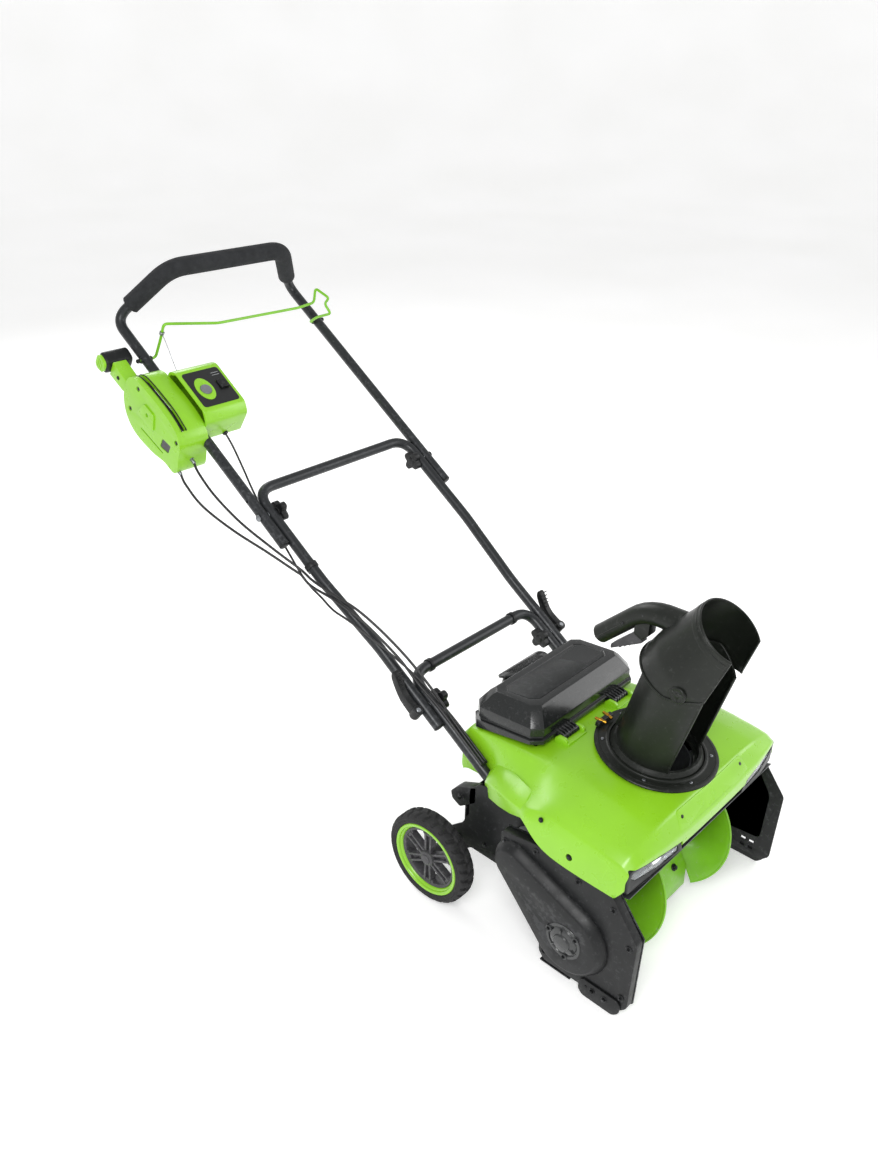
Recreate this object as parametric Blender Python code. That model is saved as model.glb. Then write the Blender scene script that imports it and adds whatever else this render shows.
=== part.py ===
"""A battery single-stage snow thrower, as one solid for each piece, standing at rest.

Metres, +Z up. The intake faces -Y, the operator stands at +Y, and the drive cover is on the
operator's right, which is -X. All the sizes are real ones, worked out from the clearing width.
Lengths along the machine are measured from the wheel axle, and heights from the ground.
"""

import math

import bmesh
import bpy
from mathutils import Matrix, Vector

# The frame's origin is under the middle of the whole object's box.
FRAME_SHIFT = Vector((0.01375, -0.2554, 0.0))

GAP = 0.0004  # clearance between neighbours

# Wheels
WHEEL_RADIUS = 0.098
WHEEL_OUTER_X = 0.2935
WHEEL_WIDTH = 0.044
RIM_RADIUS = 0.0780
AXLE_RADIUS = 0.006

# Body
PLATE_X = 0.2620  # outer face of the side plates
PLATE_T = 0.0030
DRIVE_WALL_X = 0.2400  # inner wall of the belt case, on the -X side
INTAKE_FRONT_Y = -0.457
AUGER_Y = -0.325
AUGER_Z = 0.116
AUGER_RADIUS = 0.103
SCOOP_RADIUS = 0.108
SCOOP_T = 0.0025
HOOD_T = 0.0030
SKIRT_X = 0.2660  # outer face of the hood's side skirts
MOTOR_Y = -0.195
MOTOR_Z = 0.205

# Chute, on a ring that leans forward
RING_Y = -0.300
RING_Z = 0.3665
RING_TILT = math.radians(7.0)
RING_RADIUS = 0.114
CHUTE_RADIUS = 0.078
CHUTE_T = 0.0030
CHUTE_LEAN = math.radians(7.0)  # beyond the ring's own lean
DEFLECTOR_RADIUS = 0.0845
DEFLECTOR_PIVOT_Y = -0.018  # in the chute's own frame
DEFLECTOR_PIVOT_Z = 0.205
DEFLECTOR_TILT = math.radians(22.0)

# Battery bay and lid
LID_HALF_X = 0.160
LID_FRONT_Y = -0.152
LID_REAR_Y = 0.012
LID_HINGE_X = (-0.0800, 0.0800)
LID_HINGE_Y = -0.1660
LID_HINGE_Z = 0.3796

# Handle: every tube lies along one line that rises from the lower fold
TUBE_RADIUS = 0.011
HANDLE_PITCH = math.radians(33.8)
FOLD_Y = 0.089
FOLD_Z = 0.370
LOWER_LEG_X = 0.1797
MID_LEG_LOW_X = 0.2021
MID_LEG_TOP_X = 0.2151
UPPER_LEG_X = 0.2375
UPPER_FOLD_S = 0.5017  # the upper fold, measured along the handle from the lower one
MID_TOP_S = 0.561
UPPER_END_S = 0.428
UPPER_BEND_S = 1.060
LOOP_S = 1.044
LOOP_V = 0.138
LOOP_X = 0.150
FOAM_RADIUS = 0.0195
BAIL_S = 0.940
BAIL_RADIUS = 0.0030
BOX_S = 0.802  # the control box's middle along the handle

STEPS = 32

MATERIALS = {
    "green_shell": ("8bc437", 0.30, 0.0),
    "green_steel": ("7dbb2c", 0.38, 0.0),
    "black_steel": ("26272a", 0.45, 0.3),
    "tube_steel": ("3a3b3e", 0.42, 0.3),
    "black_plastic": ("202122", 0.50, 0.0),
    "gloss_plastic": ("2b2c2d", 0.25, 0.0),
    "hub_plastic": ("4a484b", 0.55, 0.0),
    "rubber": ("1b1b1c", 0.90, 0.0),
    "foam": ("242426", 0.95, 0.0),
    "lens": ("b9bcc0", 0.10, 0.0),
    "bright_steel": ("b5b7ba", 0.30, 1.0),
    "motor_steel": ("6d6f72", 0.40, 0.9),
    "grey_button": ("6c6e72", 0.50, 0.0),
}

RING_FRAME = Matrix.Translation((0, RING_Y, RING_Z)) @ Matrix.Rotation(RING_TILT, 4, "X")
CHUTE_FRAME = RING_FRAME @ Matrix.Rotation(CHUTE_LEAN, 4, "X")
DEFLECTOR_FRAME = (
    CHUTE_FRAME
    @ Matrix.Translation((0, DEFLECTOR_PIVOT_Y, DEFLECTOR_PIVOT_Z))
    @ Matrix.Rotation(DEFLECTOR_TILT, 4, "X")
    @ Matrix.Translation((0, -DEFLECTOR_PIVOT_Y, 0))
)
HANDLE_FRAME = Matrix.Translation((0, FOLD_Y, FOLD_Z)) @ Matrix.Rotation(HANDLE_PITCH, 4, "X")


# ---------------------------------------------------------------- scene helpers


def clear_scene():
    for obj in list(bpy.data.objects):
        bpy.data.objects.remove(obj, do_unlink=True)


def material(name):
    """The named finish, made on first use from its hex colour, roughness and metallic value."""
    found = bpy.data.materials.get(name)
    if found:
        return found
    colour, roughness, metallic = MATERIALS[name]
    channels = [int(colour[i : i + 2], 16) / 255 for i in (0, 2, 4)]
    linear = [c / 12.92 if c <= 0.04045 else ((c + 0.055) / 1.055) ** 2.4 for c in channels]
    made = bpy.data.materials.new(name)
    made.use_nodes = True
    shader = made.node_tree.nodes["Principled BSDF"]
    shader.inputs["Base Color"].default_value = (*linear, 1)
    shader.inputs["Roughness"].default_value = roughness
    shader.inputs["Metallic"].default_value = metallic
    made.diffuse_color = (*linear, 1)
    return made


def empty(name, place, parent=None):
    """An empty on a joint's axis, or the root of the whole object."""
    made = bpy.data.objects.new(name, None)
    bpy.context.scene.collection.objects.link(made)
    attach(made, place, parent)
    return made


def place_of(obj):
    """Where an object's origin is, in the lengths and heights that the sizes above use."""
    place = Vector(obj.location)
    while obj.parent:
        obj = obj.parent
        place += obj.location
    return place - FRAME_SHIFT


def attach(obj, place, parent):
    obj.parent = parent
    obj.location = Vector(place) - place_of(parent) if parent else Vector(place) + FRAME_SHIFT


def solid(name, bm, finish, parent, place=None, smooth=True):
    """A named object from a closed mesh, with its origin at place, which defaults to its parent's."""
    place = place_of(parent) if place is None else Vector(place)
    bmesh.ops.recalc_face_normals(bm, faces=bm.faces)
    if bm.calc_volume(signed=True) < 0:
        bmesh.ops.reverse_faces(bm, faces=bm.faces)
    bmesh.ops.translate(bm, vec=-place, verts=bm.verts)
    mesh = bpy.data.meshes.new(name)
    bm.to_mesh(mesh)
    bm.free()
    obj = bpy.data.objects.new(name, mesh)
    bpy.context.scene.collection.objects.link(obj)
    attach(obj, place, parent)
    if smooth:
        mesh.shade_smooth()
        mesh.set_sharp_from_angle(angle=math.radians(32))
    mesh.materials.append(material(finish))
    return obj


def combine(obj, bm, operation):
    """Adds or takes away a closed mesh, which stays in the file as a hidden helper."""
    name = f"{obj.name}.{operation.lower()}{len(obj.modifiers)}"
    helper = solid(name, bm, "black_plastic", obj.parent, smooth=False)
    helper.hide_render = True
    helper.display_type = "WIRE"
    made = obj.modifiers.new(operation.title(), "BOOLEAN")
    made.operation = operation
    made.solver = "EXACT"
    made.object = helper
    return obj


def cut(obj, *tools):
    for tool in tools:
        combine(obj, tool, "DIFFERENCE")
    return obj


def join(obj, *tools):
    for tool in tools:
        combine(obj, tool, "UNION")
    return obj


def bevel(obj, width, segments=2, angle=35):
    made = obj.modifiers.new("Bevel", "BEVEL")
    made.width = width
    made.segments = segments
    made.limit_method = "ANGLE"
    made.angle_limit = math.radians(angle)
    made.use_clamp_overlap = True
    return obj


# ---------------------------------------------------------------- mesh helpers


def prism(outline, low, high, axis="X"):
    """An outline pushed from low to high along an axis. Its points are the other two coordinates."""
    bm = bmesh.new()
    order = {
        "X": lambda a, b: (low, a, b),
        "Y": lambda a, b: (a, low, b),
        "Z": lambda a, b: (a, b, low),
    }[axis]
    face = bm.faces.new([bm.verts.new(order(a, b)) for a, b in outline])
    step = {"X": (high - low, 0, 0), "Y": (0, high - low, 0), "Z": (0, 0, high - low)}[axis]
    made = bmesh.ops.extrude_face_region(bm, geom=[face], use_keep_orig=True)
    moved = [item for item in made["geom"] if isinstance(item, bmesh.types.BMVert)]
    bmesh.ops.translate(bm, vec=step, verts=moved)
    return bm


def block(x, y, z):
    """A box between two values on each axis."""
    bm = bmesh.new()
    bmesh.ops.create_cube(bm, size=1)
    size = Vector((x[1] - x[0], y[1] - y[0], z[1] - z[0]))
    middle = Vector((x[1] + x[0], y[1] + y[0], z[1] + z[0])) / 2
    bmesh.ops.scale(bm, vec=size, verts=bm.verts)
    bmesh.ops.translate(bm, vec=middle, verts=bm.verts)
    return bm


def lathe(profile, steps=STEPS, axis="X", centre=(0, 0, 0)):
    """A closed profile of (radius, distance along the axis), turned once round that axis."""
    bm = bmesh.new()
    verts = [bm.verts.new((along, radius, 0)) for radius, along in profile]
    loop = [bm.edges.new((a, b)) for a, b in zip(verts, verts[1:] + verts[:1])]
    bmesh.ops.spin(
        bm, geom=verts + loop, axis=(1, 0, 0), cent=(0, 0, 0), angle=math.tau, steps=steps, use_merge=True
    )
    bmesh.ops.remove_doubles(bm, verts=bm.verts, dist=1e-6)
    bmesh.ops.dissolve_degenerate(bm, edges=bm.edges, dist=1e-7)
    inner = [edge for edge in bm.edges if len(edge.link_faces) == 0]
    bmesh.ops.delete(bm, geom=inner, context="EDGES")
    bmesh.ops.recalc_face_normals(bm, faces=bm.faces)
    turn = {
        "X": Matrix.Identity(4),
        "Y": Matrix.Rotation(math.radians(90), 4, "Z"),
        "Z": Matrix.Rotation(math.radians(-90), 4, "Y"),
    }[axis]
    bm.transform(Matrix.Translation(centre) @ turn)
    return bm


def rod(radius, low, high, axis="X", centre=(0, 0, 0), steps=16):
    """A plain round bar between two values along an axis through centre."""
    bm = bmesh.new()
    bmesh.ops.create_cone(
        bm, cap_ends=True, segments=steps, radius1=radius, radius2=radius, depth=high - low
    )
    bmesh.ops.translate(bm, vec=(0, 0, (high + low) / 2), verts=bm.verts)
    turn = {
        "X": Matrix.Rotation(math.radians(90), 4, "Y"),
        "Y": Matrix.Rotation(math.radians(-90), 4, "X"),
        "Z": Matrix.Identity(4),
    }[axis]
    bm.transform(Matrix.Translation(centre) @ turn)
    return bm


def placed(bm, matrix):
    bm.transform(matrix)
    return bm


def together(*meshes):
    """One mesh holding several closed ones that stay clear of each other."""
    bm = bmesh.new()
    for part in meshes:
        held = bpy.data.meshes.new("held")
        part.to_mesh(held)
        part.free()
        bm.from_mesh(held)
        bpy.data.meshes.remove(held)
    return bm


def arc(middle, radius, start, end, steps):
    """Points round part of a circle. The angles are in degrees, from the first coordinate's direction."""
    points = []
    for i in range(steps + 1):
        angle = math.radians(start + (end - start) * i / steps)
        points.append((middle[0] + radius * math.cos(angle), middle[1] + radius * math.sin(angle)))
    return points


def rounded(points, radius, steps=4):
    """A path through corner points with each corner rounded off. A right angle takes this many steps."""
    corners = [Vector(p) for p in points]
    made = [corners[0]]
    for before, corner, after in zip(corners, corners[1:], corners[2:]):
        towards, away = (before - corner), (after - corner)
        reach = min(radius, towards.length * 0.48, away.length * 0.48)
        first = corner + towards.normalized() * reach
        last = corner + away.normalized() * reach
        pieces = max(1, round(steps * (-towards).angle(away) / math.radians(90)))
        for i in range(pieces + 1):
            t = i / pieces
            made.append(first * (1 - t) ** 2 + corner * 2 * t * (1 - t) + last * t * t)
    made.append(corners[-1])
    return made


def smooth_path(points, per_span=4):
    """A Catmull-Rom path through points chosen by hand."""
    held = [Vector(p) for p in points]
    ends = [held[0] * 2 - held[1], *held, held[-1] * 2 - held[-2]]
    made = []
    for a, b, c, d in zip(ends, ends[1:], ends[2:], ends[3:]):
        for i in range(per_span):
            t = i / per_span
            bend = (2 * a - 5 * b + 4 * c - d) * t**2 + (3 * b - a - 3 * c + d) * t**3
            made.append((2 * b + (c - a) * t + bend) / 2)
    made.append(held[-1])
    return made


def tube_mesh(points, radius, resolution=2, matrix=None):
    """A round bar along a path, as a poly curve with a bevel and filled caps, turned into a mesh."""
    data = bpy.data.curves.new("path", "CURVE")
    data.dimensions = "3D"
    data.bevel_depth = radius
    data.bevel_resolution = resolution
    data.use_fill_caps = True
    spline = data.splines.new("POLY")
    spline.points.add(len(points) - 1)
    for item, point in zip(spline.points, points):
        item.co = (*point, 1)
    held = bpy.data.objects.new("path", data)
    bpy.context.scene.collection.objects.link(held)
    bpy.context.view_layer.update()
    graph = bpy.context.evaluated_depsgraph_get()
    bm = bmesh.new()
    bm.from_mesh(held.evaluated_get(graph).to_mesh())
    bpy.data.objects.remove(held)
    bpy.data.curves.remove(data)
    bmesh.ops.remove_doubles(bm, verts=bm.verts, dist=1e-6)
    return placed(bm, matrix) if matrix else bm


def shell(outer, inner):
    """A closed wall between two grids of points with the same number of rows and columns."""
    bm = bmesh.new()
    grids = [[[bm.verts.new(point) for point in row] for row in rows] for rows in (outer, inner)]
    for grid in grids:
        for upper, lower in zip(grid, grid[1:]):
            for a, b, c, d in zip(upper, upper[1:], lower[1:], lower):
                bm.faces.new((a, b, c, d))
    rims = []
    for grid in grids:
        right = [row[-1] for row in grid[1:-1]]
        left = [row[0] for row in grid[-2:0:-1]]
        rims.append(grid[0] + right + grid[-1][::-1] + left)
    for i in range(len(rims[0])):
        after = (i + 1) % len(rims[0])
        bm.faces.new((rims[0][i], rims[0][after], rims[1][after], rims[1][i]))
    bmesh.ops.recalc_face_normals(bm, faces=bm.faces)
    return bm


def sheet(rows, thickness):
    """A closed wall whose outer side is a grid of points, thickened against the grid's own normals."""
    grid = [[Vector(point) for point in row] for row in rows]
    inner = []
    for i, row in enumerate(grid):
        made = []
        for j, point in enumerate(row):
            across = row[min(j + 1, len(row) - 1)] - row[max(j - 1, 0)]
            along = grid[min(i + 1, len(grid) - 1)][j] - grid[max(i - 1, 0)][j]
            made.append(point - across.cross(along).normalized() * thickness)
        inner.append(made)
    return shell(grid, inner)


def stacked(rings):
    """A closed body through flat rings of the same number of points, from the lowest up."""
    bm = bmesh.new()
    loops = [[bm.verts.new(point) for point in ring] for ring in rings]
    for below, above in zip(loops, loops[1:]):
        for i in range(len(below)):
            after = (i + 1) % len(below)
            bm.faces.new((below[i], below[after], above[after], above[i]))
    bm.faces.new(loops[-1])
    bm.faces.new(loops[0][::-1])
    return bm


def ordered(side, near, far):
    """Two distances from the middle as the lower and the higher x on that side."""
    return sorted((side * near, side * far))


def shrunk(outline, share):
    """An outline drawn in towards its own middle."""
    middle = [sum(point[axis] for point in outline) / len(outline) for axis in (0, 1)]
    made = []
    for point in outline:
        made.append(tuple(middle[axis] + (point[axis] - middle[axis]) * share for axis in (0, 1)))
    return made


# ---------------------------------------------------------------- body


# The hood's sections from its front lip over the top to the rear edge: the y at its middle, the y
# at its sides, and the heights across half of it.
HOOD_SECTIONS = (
    (-0.424, -0.396, (0.262, 0.262, 0.262, 0.262, 0.262, 0.262, 0.262, 0.262, 0.262)),
    (-0.436, -0.404, (0.300, 0.300, 0.300, 0.298, 0.296, 0.292, 0.286, 0.274, 0.264)),
    (-0.432, -0.402, (0.340, 0.340, 0.340, 0.338, 0.334, 0.326, 0.312, 0.284, 0.263)),
    (-0.418, -0.396, (0.354, 0.354, 0.354, 0.352, 0.346, 0.338, 0.320, 0.290, 0.262)),
    (-0.380, -0.372, (0.360, 0.360, 0.360, 0.358, 0.352, 0.343, 0.326, 0.294, 0.262)),
    (-0.300, -0.300, (0.366, 0.366, 0.366, 0.365, 0.360, 0.352, 0.338, 0.302, 0.262)),
    (-0.240, -0.242, (0.372, 0.372, 0.371, 0.369, 0.364, 0.358, 0.346, 0.312, 0.268)),
    (-0.205, -0.207, (0.374, 0.374, 0.373, 0.370, 0.362, 0.352, 0.338, 0.326, 0.312)),
    (-0.165, -0.165, (0.372, 0.372, 0.371, 0.367, 0.354, 0.338, 0.322, 0.312, 0.300)),
    (-0.100, -0.100, (0.364, 0.364, 0.363, 0.359, 0.338, 0.314, 0.298, 0.290, 0.280)),
    (-0.040, -0.050, (0.356, 0.356, 0.355, 0.350, 0.322, 0.296, 0.280, 0.270, 0.256)),
    (0.010, -0.020, (0.348, 0.348, 0.347, 0.342, 0.314, 0.286, 0.270, 0.262, 0.250)),
    (0.024, -0.008, (0.330, 0.330, 0.329, 0.324, 0.300, 0.276, 0.262, 0.256, 0.246)),
    (0.026, -0.006, (0.262, 0.262, 0.262, 0.262, 0.258, 0.252, 0.248, 0.246, 0.242)),
)
HOOD_ACROSS = (0.0, 0.060, 0.115, 0.165, 0.200, 0.232, 0.252, 0.263, SKIRT_X)
HOOD_REAR_ACROSS = (0.0, 0.060, 0.115, 0.165, 0.187, 0.204, 0.216, 0.226, 0.232)
HOOD_NARROWS_FROM = 8  # the first section of those that draw in to the rear


def hood(root):
    """The green shroud over the intake and the motor, with the chute's hole and the battery's opening."""
    rows = []
    for number, (middle_y, edge_y, heights) in enumerate(HOOD_SECTIONS):
        narrowing = min(max((number - HOOD_NARROWS_FROM) / 2, 0), 1)
        half = []
        for column, height in enumerate(heights):
            share = column / (len(heights) - 1)
            x = HOOD_ACROSS[column] * (1 - narrowing) + HOOD_REAR_ACROSS[column] * narrowing
            half.append((x, middle_y + (edge_y - middle_y) * share**2, height))
        rows.append([(-x, y, z) for x, y, z in half[:0:-1]] + half)
    obj = solid("hood", sheet(rows, HOOD_T), "green_shell", root)
    hole = placed(rod(0.0700, -0.06, 0.06, "Z", steps=40), RING_FRAME)
    opening = block((-0.142, 0.142), (-0.136, -0.004), (0.300, 0.40))
    lamps = [headlight_bar(side, 0.0006, -0.4600, -0.4000) for side in (-1, 1)]
    legs = []
    for side in (-1, 1):
        across = ordered(side, LOWER_LEG_X - 0.0140, LOWER_LEG_X + 0.0140)
        legs.append(block(across, (-0.165, 0.14), (-0.030, 0.080)))
    cut(obj, hole, opening, *lamps, placed(together(*legs), HANDLE_FRAME))
    return join(obj, *lid_hinge_brackets())


HEADLIGHT_OUTLINE = [
    (0.1040, 0.2765),
    (0.1800, 0.2735),
    (0.2515, 0.2705),
    (0.2555, 0.2900),
    (0.2395, 0.3132),
    (0.1800, 0.3066),
    (0.1130, 0.2992),
]


def headlight_bar(side, grow, front, rear):
    """The headlight's outline, grown by a clearance, as a bar that bends back with the hood's front."""
    middle = (0.1800, 0.2915)
    outline = []
    for x, z in HEADLIGHT_OUTLINE:
        step = Vector((x - middle[0], z - middle[1]))
        share = 1 + grow / abs(step.y) if abs(step.x) < 0.01 else 1 + grow / (0.4 * step.length)
        outline.append((side * (middle[0] + step.x * share), middle[1] + step.y * share))
    bar = prism(outline, front, rear, "Y")
    for vert in bar.verts:
        vert.co.y += 0.0165 * ((abs(vert.co.x) - 0.1) / 0.155) ** 2
    return bar


def headlights(root):
    for name, side in (("right", -1), ("left", 1)):
        bezel = headlight_bar(side, 0.0, -0.4385, -0.4060)
        bezel = solid(f"headlight_bezel_{name}", bezel, "black_plastic", root)
        cut(bezel, headlight_bar(side, -0.0035, -0.4600, -0.4130))
        glass = solid(f"headlight_lens_{name}", headlight_bar(side, -0.0042, -0.4378, -0.4135), "lens", root)
        bevel(glass, 0.0012, 1)


def scoop_outline():
    """Section of the intake's curved wall, from the scraper round the back and over the top."""
    inner = arc((AUGER_Y, AUGER_Z), SCOOP_RADIUS, -96, 96, 22)
    outer = arc((AUGER_Y, AUGER_Z), SCOOP_RADIUS + SCOOP_T, -96, 96, 22)
    lip = [(-0.418, 0.2510), (-0.418, 0.2535)]
    return inner + lip + outer[::-1]


def auger_housing(root):
    """The curved intake wall and the round neck that leads the snow up to the chute."""
    low, high = -DRIVE_WALL_X + 0.0003, PLATE_X - PLATE_T - GAP
    obj = solid("auger_housing", prism(scoop_outline(), low, high), "black_steel", root)
    neck = placed(rod(0.0665, -0.150, -0.006, "Z", steps=32), RING_FRAME)
    bore = placed(rod(0.0640, -0.200, 0.020, "Z", steps=32), RING_FRAME)
    inside = prism(arc((AUGER_Y, AUGER_Z), SCOOP_RADIUS - 0.0002, 0, 345, 22), low + 0.02, high - 0.02)
    return cut(join(obj, neck), bore, inside)


PLATE_OUTLINE = [
    (INTAKE_FRONT_Y, 0.188),
    (INTAKE_FRONT_Y + 0.002, 0.030),
    (-0.440, 0.014),
    (-0.276, 0.014),
    (-0.2625, 0.030),
    (-0.2600, 0.068),
    (-0.2080, 0.148),
    (-0.1600, 0.226),
    (-0.1600, 0.256),
    (-0.2350, 0.270),
    (-0.4000, 0.258),
]


def side_plates(root):
    """The intake's two ends, with the shaft's holes. The -X one is the belt case's inner wall."""
    hole = (0, AUGER_Y, AUGER_Z)
    left = solid("side_plate_left", prism(PLATE_OUTLINE, PLATE_X - PLATE_T, PLATE_X), "black_steel", root)
    join(left, rod(0.0180, PLATE_X - 0.0010, PLATE_X + 0.0040, centre=hole, steps=24))
    cut(left, rod(0.0086, 0.20, 0.30, centre=hole, steps=20))
    slots = []
    for y in (-0.418, -0.400):
        for z in (0.028, 0.042):
            slots.append(block((0.250, 0.270), (y, y + 0.010), (z, z + 0.008)))
    cut(left, together(*slots))
    wall = prism(PLATE_OUTLINE, -DRIVE_WALL_X - PLATE_T, -DRIVE_WALL_X)
    right = solid("side_plate_right", wall, "black_steel", root)
    cut(right, rod(0.0086, -0.30, -0.20, centre=hole, steps=20))
    cut(right, rod(0.0105, -0.30, -0.20, centre=(0, MOTOR_Y, MOTOR_Z), steps=20))


def belt_outline(auger_radius, motor_radius, steps=14):
    """The outline round both pulleys, with straight runs between them."""
    dy, dz = MOTOR_Y - AUGER_Y, MOTOR_Z - AUGER_Z
    lean = math.degrees(math.atan2(dz, dy))
    spread = math.degrees(math.acos((auger_radius - motor_radius) / math.hypot(dy, dz)))
    big = arc((AUGER_Y, AUGER_Z), auger_radius, lean + spread, lean + 360 - spread, steps + 6)
    small = arc((MOTOR_Y, MOTOR_Z), motor_radius, lean - spread, lean + spread, steps)
    return big + small


def drive_cover(root):
    """The belt case's outer cover: a flange over the plate, and a raised part over the two pulleys."""
    face = -DRIVE_WALL_X - PLATE_T - GAP
    flange = [(-0.4560, 0.186), (-0.4540, 0.031), (-0.4400, 0.0155), (-0.2760, 0.0155)]
    flange += [(y, z) for y, z in PLATE_OUTLINE if y > -0.43 and z > 0.02]
    obj = solid("drive_cover", prism(flange, -PLATE_X, face), "black_plastic", root)
    join(obj, prism(belt_outline(0.0770, 0.0400, 10), -0.2815, -PLATE_X + 0.002))
    cut(obj, prism(belt_outline(0.0715, 0.0340, 12), -0.2775, face + 0.01))
    cut(obj, rod(0.0235, -0.30, -0.20, centre=(0, AUGER_Y, AUGER_Z), steps=28))
    return obj


def bearing_cap(root):
    """A round cap on the belt case, over the end of the auger's shaft."""
    cap = [(0.0, -0.2900), (0.020, -0.2900), (0.027, -0.2860), (0.030, -0.2822), (0.036, -0.2822)]
    cap += [(0.036, -0.2819), (0.0230, -0.2819), (0.0230, -0.2730), (0.0, -0.2730)]
    solid("bearing_cap", lathe(cap, 28, centre=(0, AUGER_Y, AUGER_Z)), "black_plastic", root)


def rear_chassis(root):
    """The tray behind the intake: its floor, sides with the axle's arms, and rear wall."""
    wall = 0.0030
    side = [
        (-0.1960, 0.112),
        (-0.0500, 0.112),
        (-0.0240, 0.084),
        (0.0100, 0.080),
        (0.0220, 0.092),
        (0.0220, 0.118),
        (-0.0260, 0.160),
        (-0.0560, 0.192),
        (-0.0560, 0.238),
        (-0.1500, 0.238),
        (-0.1960, 0.160),
    ]
    low, high = -0.2100, 0.2100
    obj = solid("rear_chassis", prism(side, low - wall, low), "black_plastic", root)
    floor = block((low - 0.001, high + 0.001), (-0.1960, -0.0300), (0.1120, 0.1155))
    rear = block((low - 0.001, high + 0.001), (-0.0330, -0.0300), (0.1120, 0.2360))
    bay = block((-0.1400, 0.1400), (-0.1345, -0.0310), (0.1140, 0.3480))
    join(obj, prism(side, high, high + wall), floor, rear)
    join(obj, bay)
    inside = block((-0.1370, 0.1370), (-0.1315, -0.0340), (0.1580, 0.4000))
    holes = rod(AXLE_RADIUS + 0.0004, -0.30, 0.30, centre=(0, 0, WHEEL_RADIUS), steps=16)
    motor_room = rod(0.0435, -0.30, 0.30, centre=(0, MOTOR_Y, MOTOR_Z), steps=24)
    return cut(obj, inside, motor_room, holes)


def wheel_axle(root):
    """The straight axle through the tray's arms."""
    reach = WHEEL_OUTER_X - 0.006
    bar = rod(AXLE_RADIUS, -reach, reach, centre=(0, 0, WHEEL_RADIUS))
    bevel(solid("wheel_axle", bar, "bright_steel", root), 0.001, 1)


def motor_and_drive(root, motor_spin, auger_spin):
    """The motor, a pulley on it and on the auger's shaft, and the belt round both."""
    centre = (0, MOTOR_Y, MOTOR_Z)
    can = [(0.0105, -0.2380), (0.0400, -0.2380), (0.0420, -0.2350), (0.0420, -0.1250), (0.0360, -0.1180)]
    can += [(0.0, -0.1180), (0.0, -0.2300), (0.0105, -0.2300)]
    solid("motor", lathe(can, 24, centre=centre), "motor_steel", root)
    small = [(0.0, -0.2600), (0.0190, -0.2600), (0.0190, -0.2585), (0.0150, -0.2580), (0.0150, -0.2480)]
    small += [(0.0190, -0.2475), (0.0190, -0.2460), (0.0085, -0.2450), (0.0085, -0.2320), (0.0, -0.2320)]
    solid("motor_pulley", lathe(small, 16, centre=centre), "motor_steel", motor_spin)
    big = [(0.0084, -0.2600), (0.0580, -0.2600), (0.0580, -0.2585), (0.0540, -0.2580), (0.0540, -0.2480)]
    big += [(0.0580, -0.2475), (0.0580, -0.2460), (0.0084, -0.2460)]
    pulley = lathe(big, 24, centre=(0, AUGER_Y, AUGER_Z))
    solid("auger_pulley", pulley, "black_plastic", auger_spin)
    belt = solid("drive_belt", prism(belt_outline(0.0575, 0.0185, 8), -0.2572, -0.2488), "rubber", root)
    cut(belt, prism(belt_outline(0.0546, 0.0156, 8), -0.27, -0.24))


def battery(root):
    """The battery, which stands in the bay under the lid."""
    case = block((-0.0430, 0.0430), (-0.1250, -0.0440), (0.1600, 0.3200))
    pack = bevel(solid("battery", case, "black_plastic", root), 0.004, 1)
    grip = block((-0.0360, 0.0360), (-0.1100, -0.0580), (0.3190, 0.3300))
    join(pack, grip)


def scraper_and_skids(root):
    """The flat blade along the intake's lower edge, and a shoe at each end that slides on the ground."""
    bar = block((-0.2570, 0.2570), (-0.3320, -0.2640), (0.0020, 0.0050))
    bevel(solid("scraper_bar", bar, "black_steel", root), 0.0006, 1)
    shoe = [(-0.4420, 0.0120), (-0.4300, 0.0000), (-0.3660, 0.0000), (-0.3560, 0.0100), (-0.3560, 0.0300)]
    shoe += [(-0.3640, 0.0400), (-0.4360, 0.0400), (-0.4440, 0.0320)]
    solid("skid_shoe_right", prism(shoe, -0.2664, -PLATE_X - GAP), "black_plastic", root)
    solid("skid_shoe_left", prism(shoe, PLATE_X + GAP, 0.2664), "black_plastic", root)


def chute_ring(root):
    """The flat ring on the hood that holds the chute's collar."""
    ring = [(0.0870, 0.0040), (0.0870, 0.0130), (0.0900, 0.0150), (0.0940, 0.0130), (0.0945, 0.0090)]
    ring += [(RING_RADIUS - 0.004, 0.0085), (RING_RADIUS, 0.0060), (RING_RADIUS, 0.0040)]
    solid("chute_ring", placed(lathe(ring, 32, "Z"), RING_FRAME), "black_plastic", root)


# ---------------------------------------------------------------- wheels and auger


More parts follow.
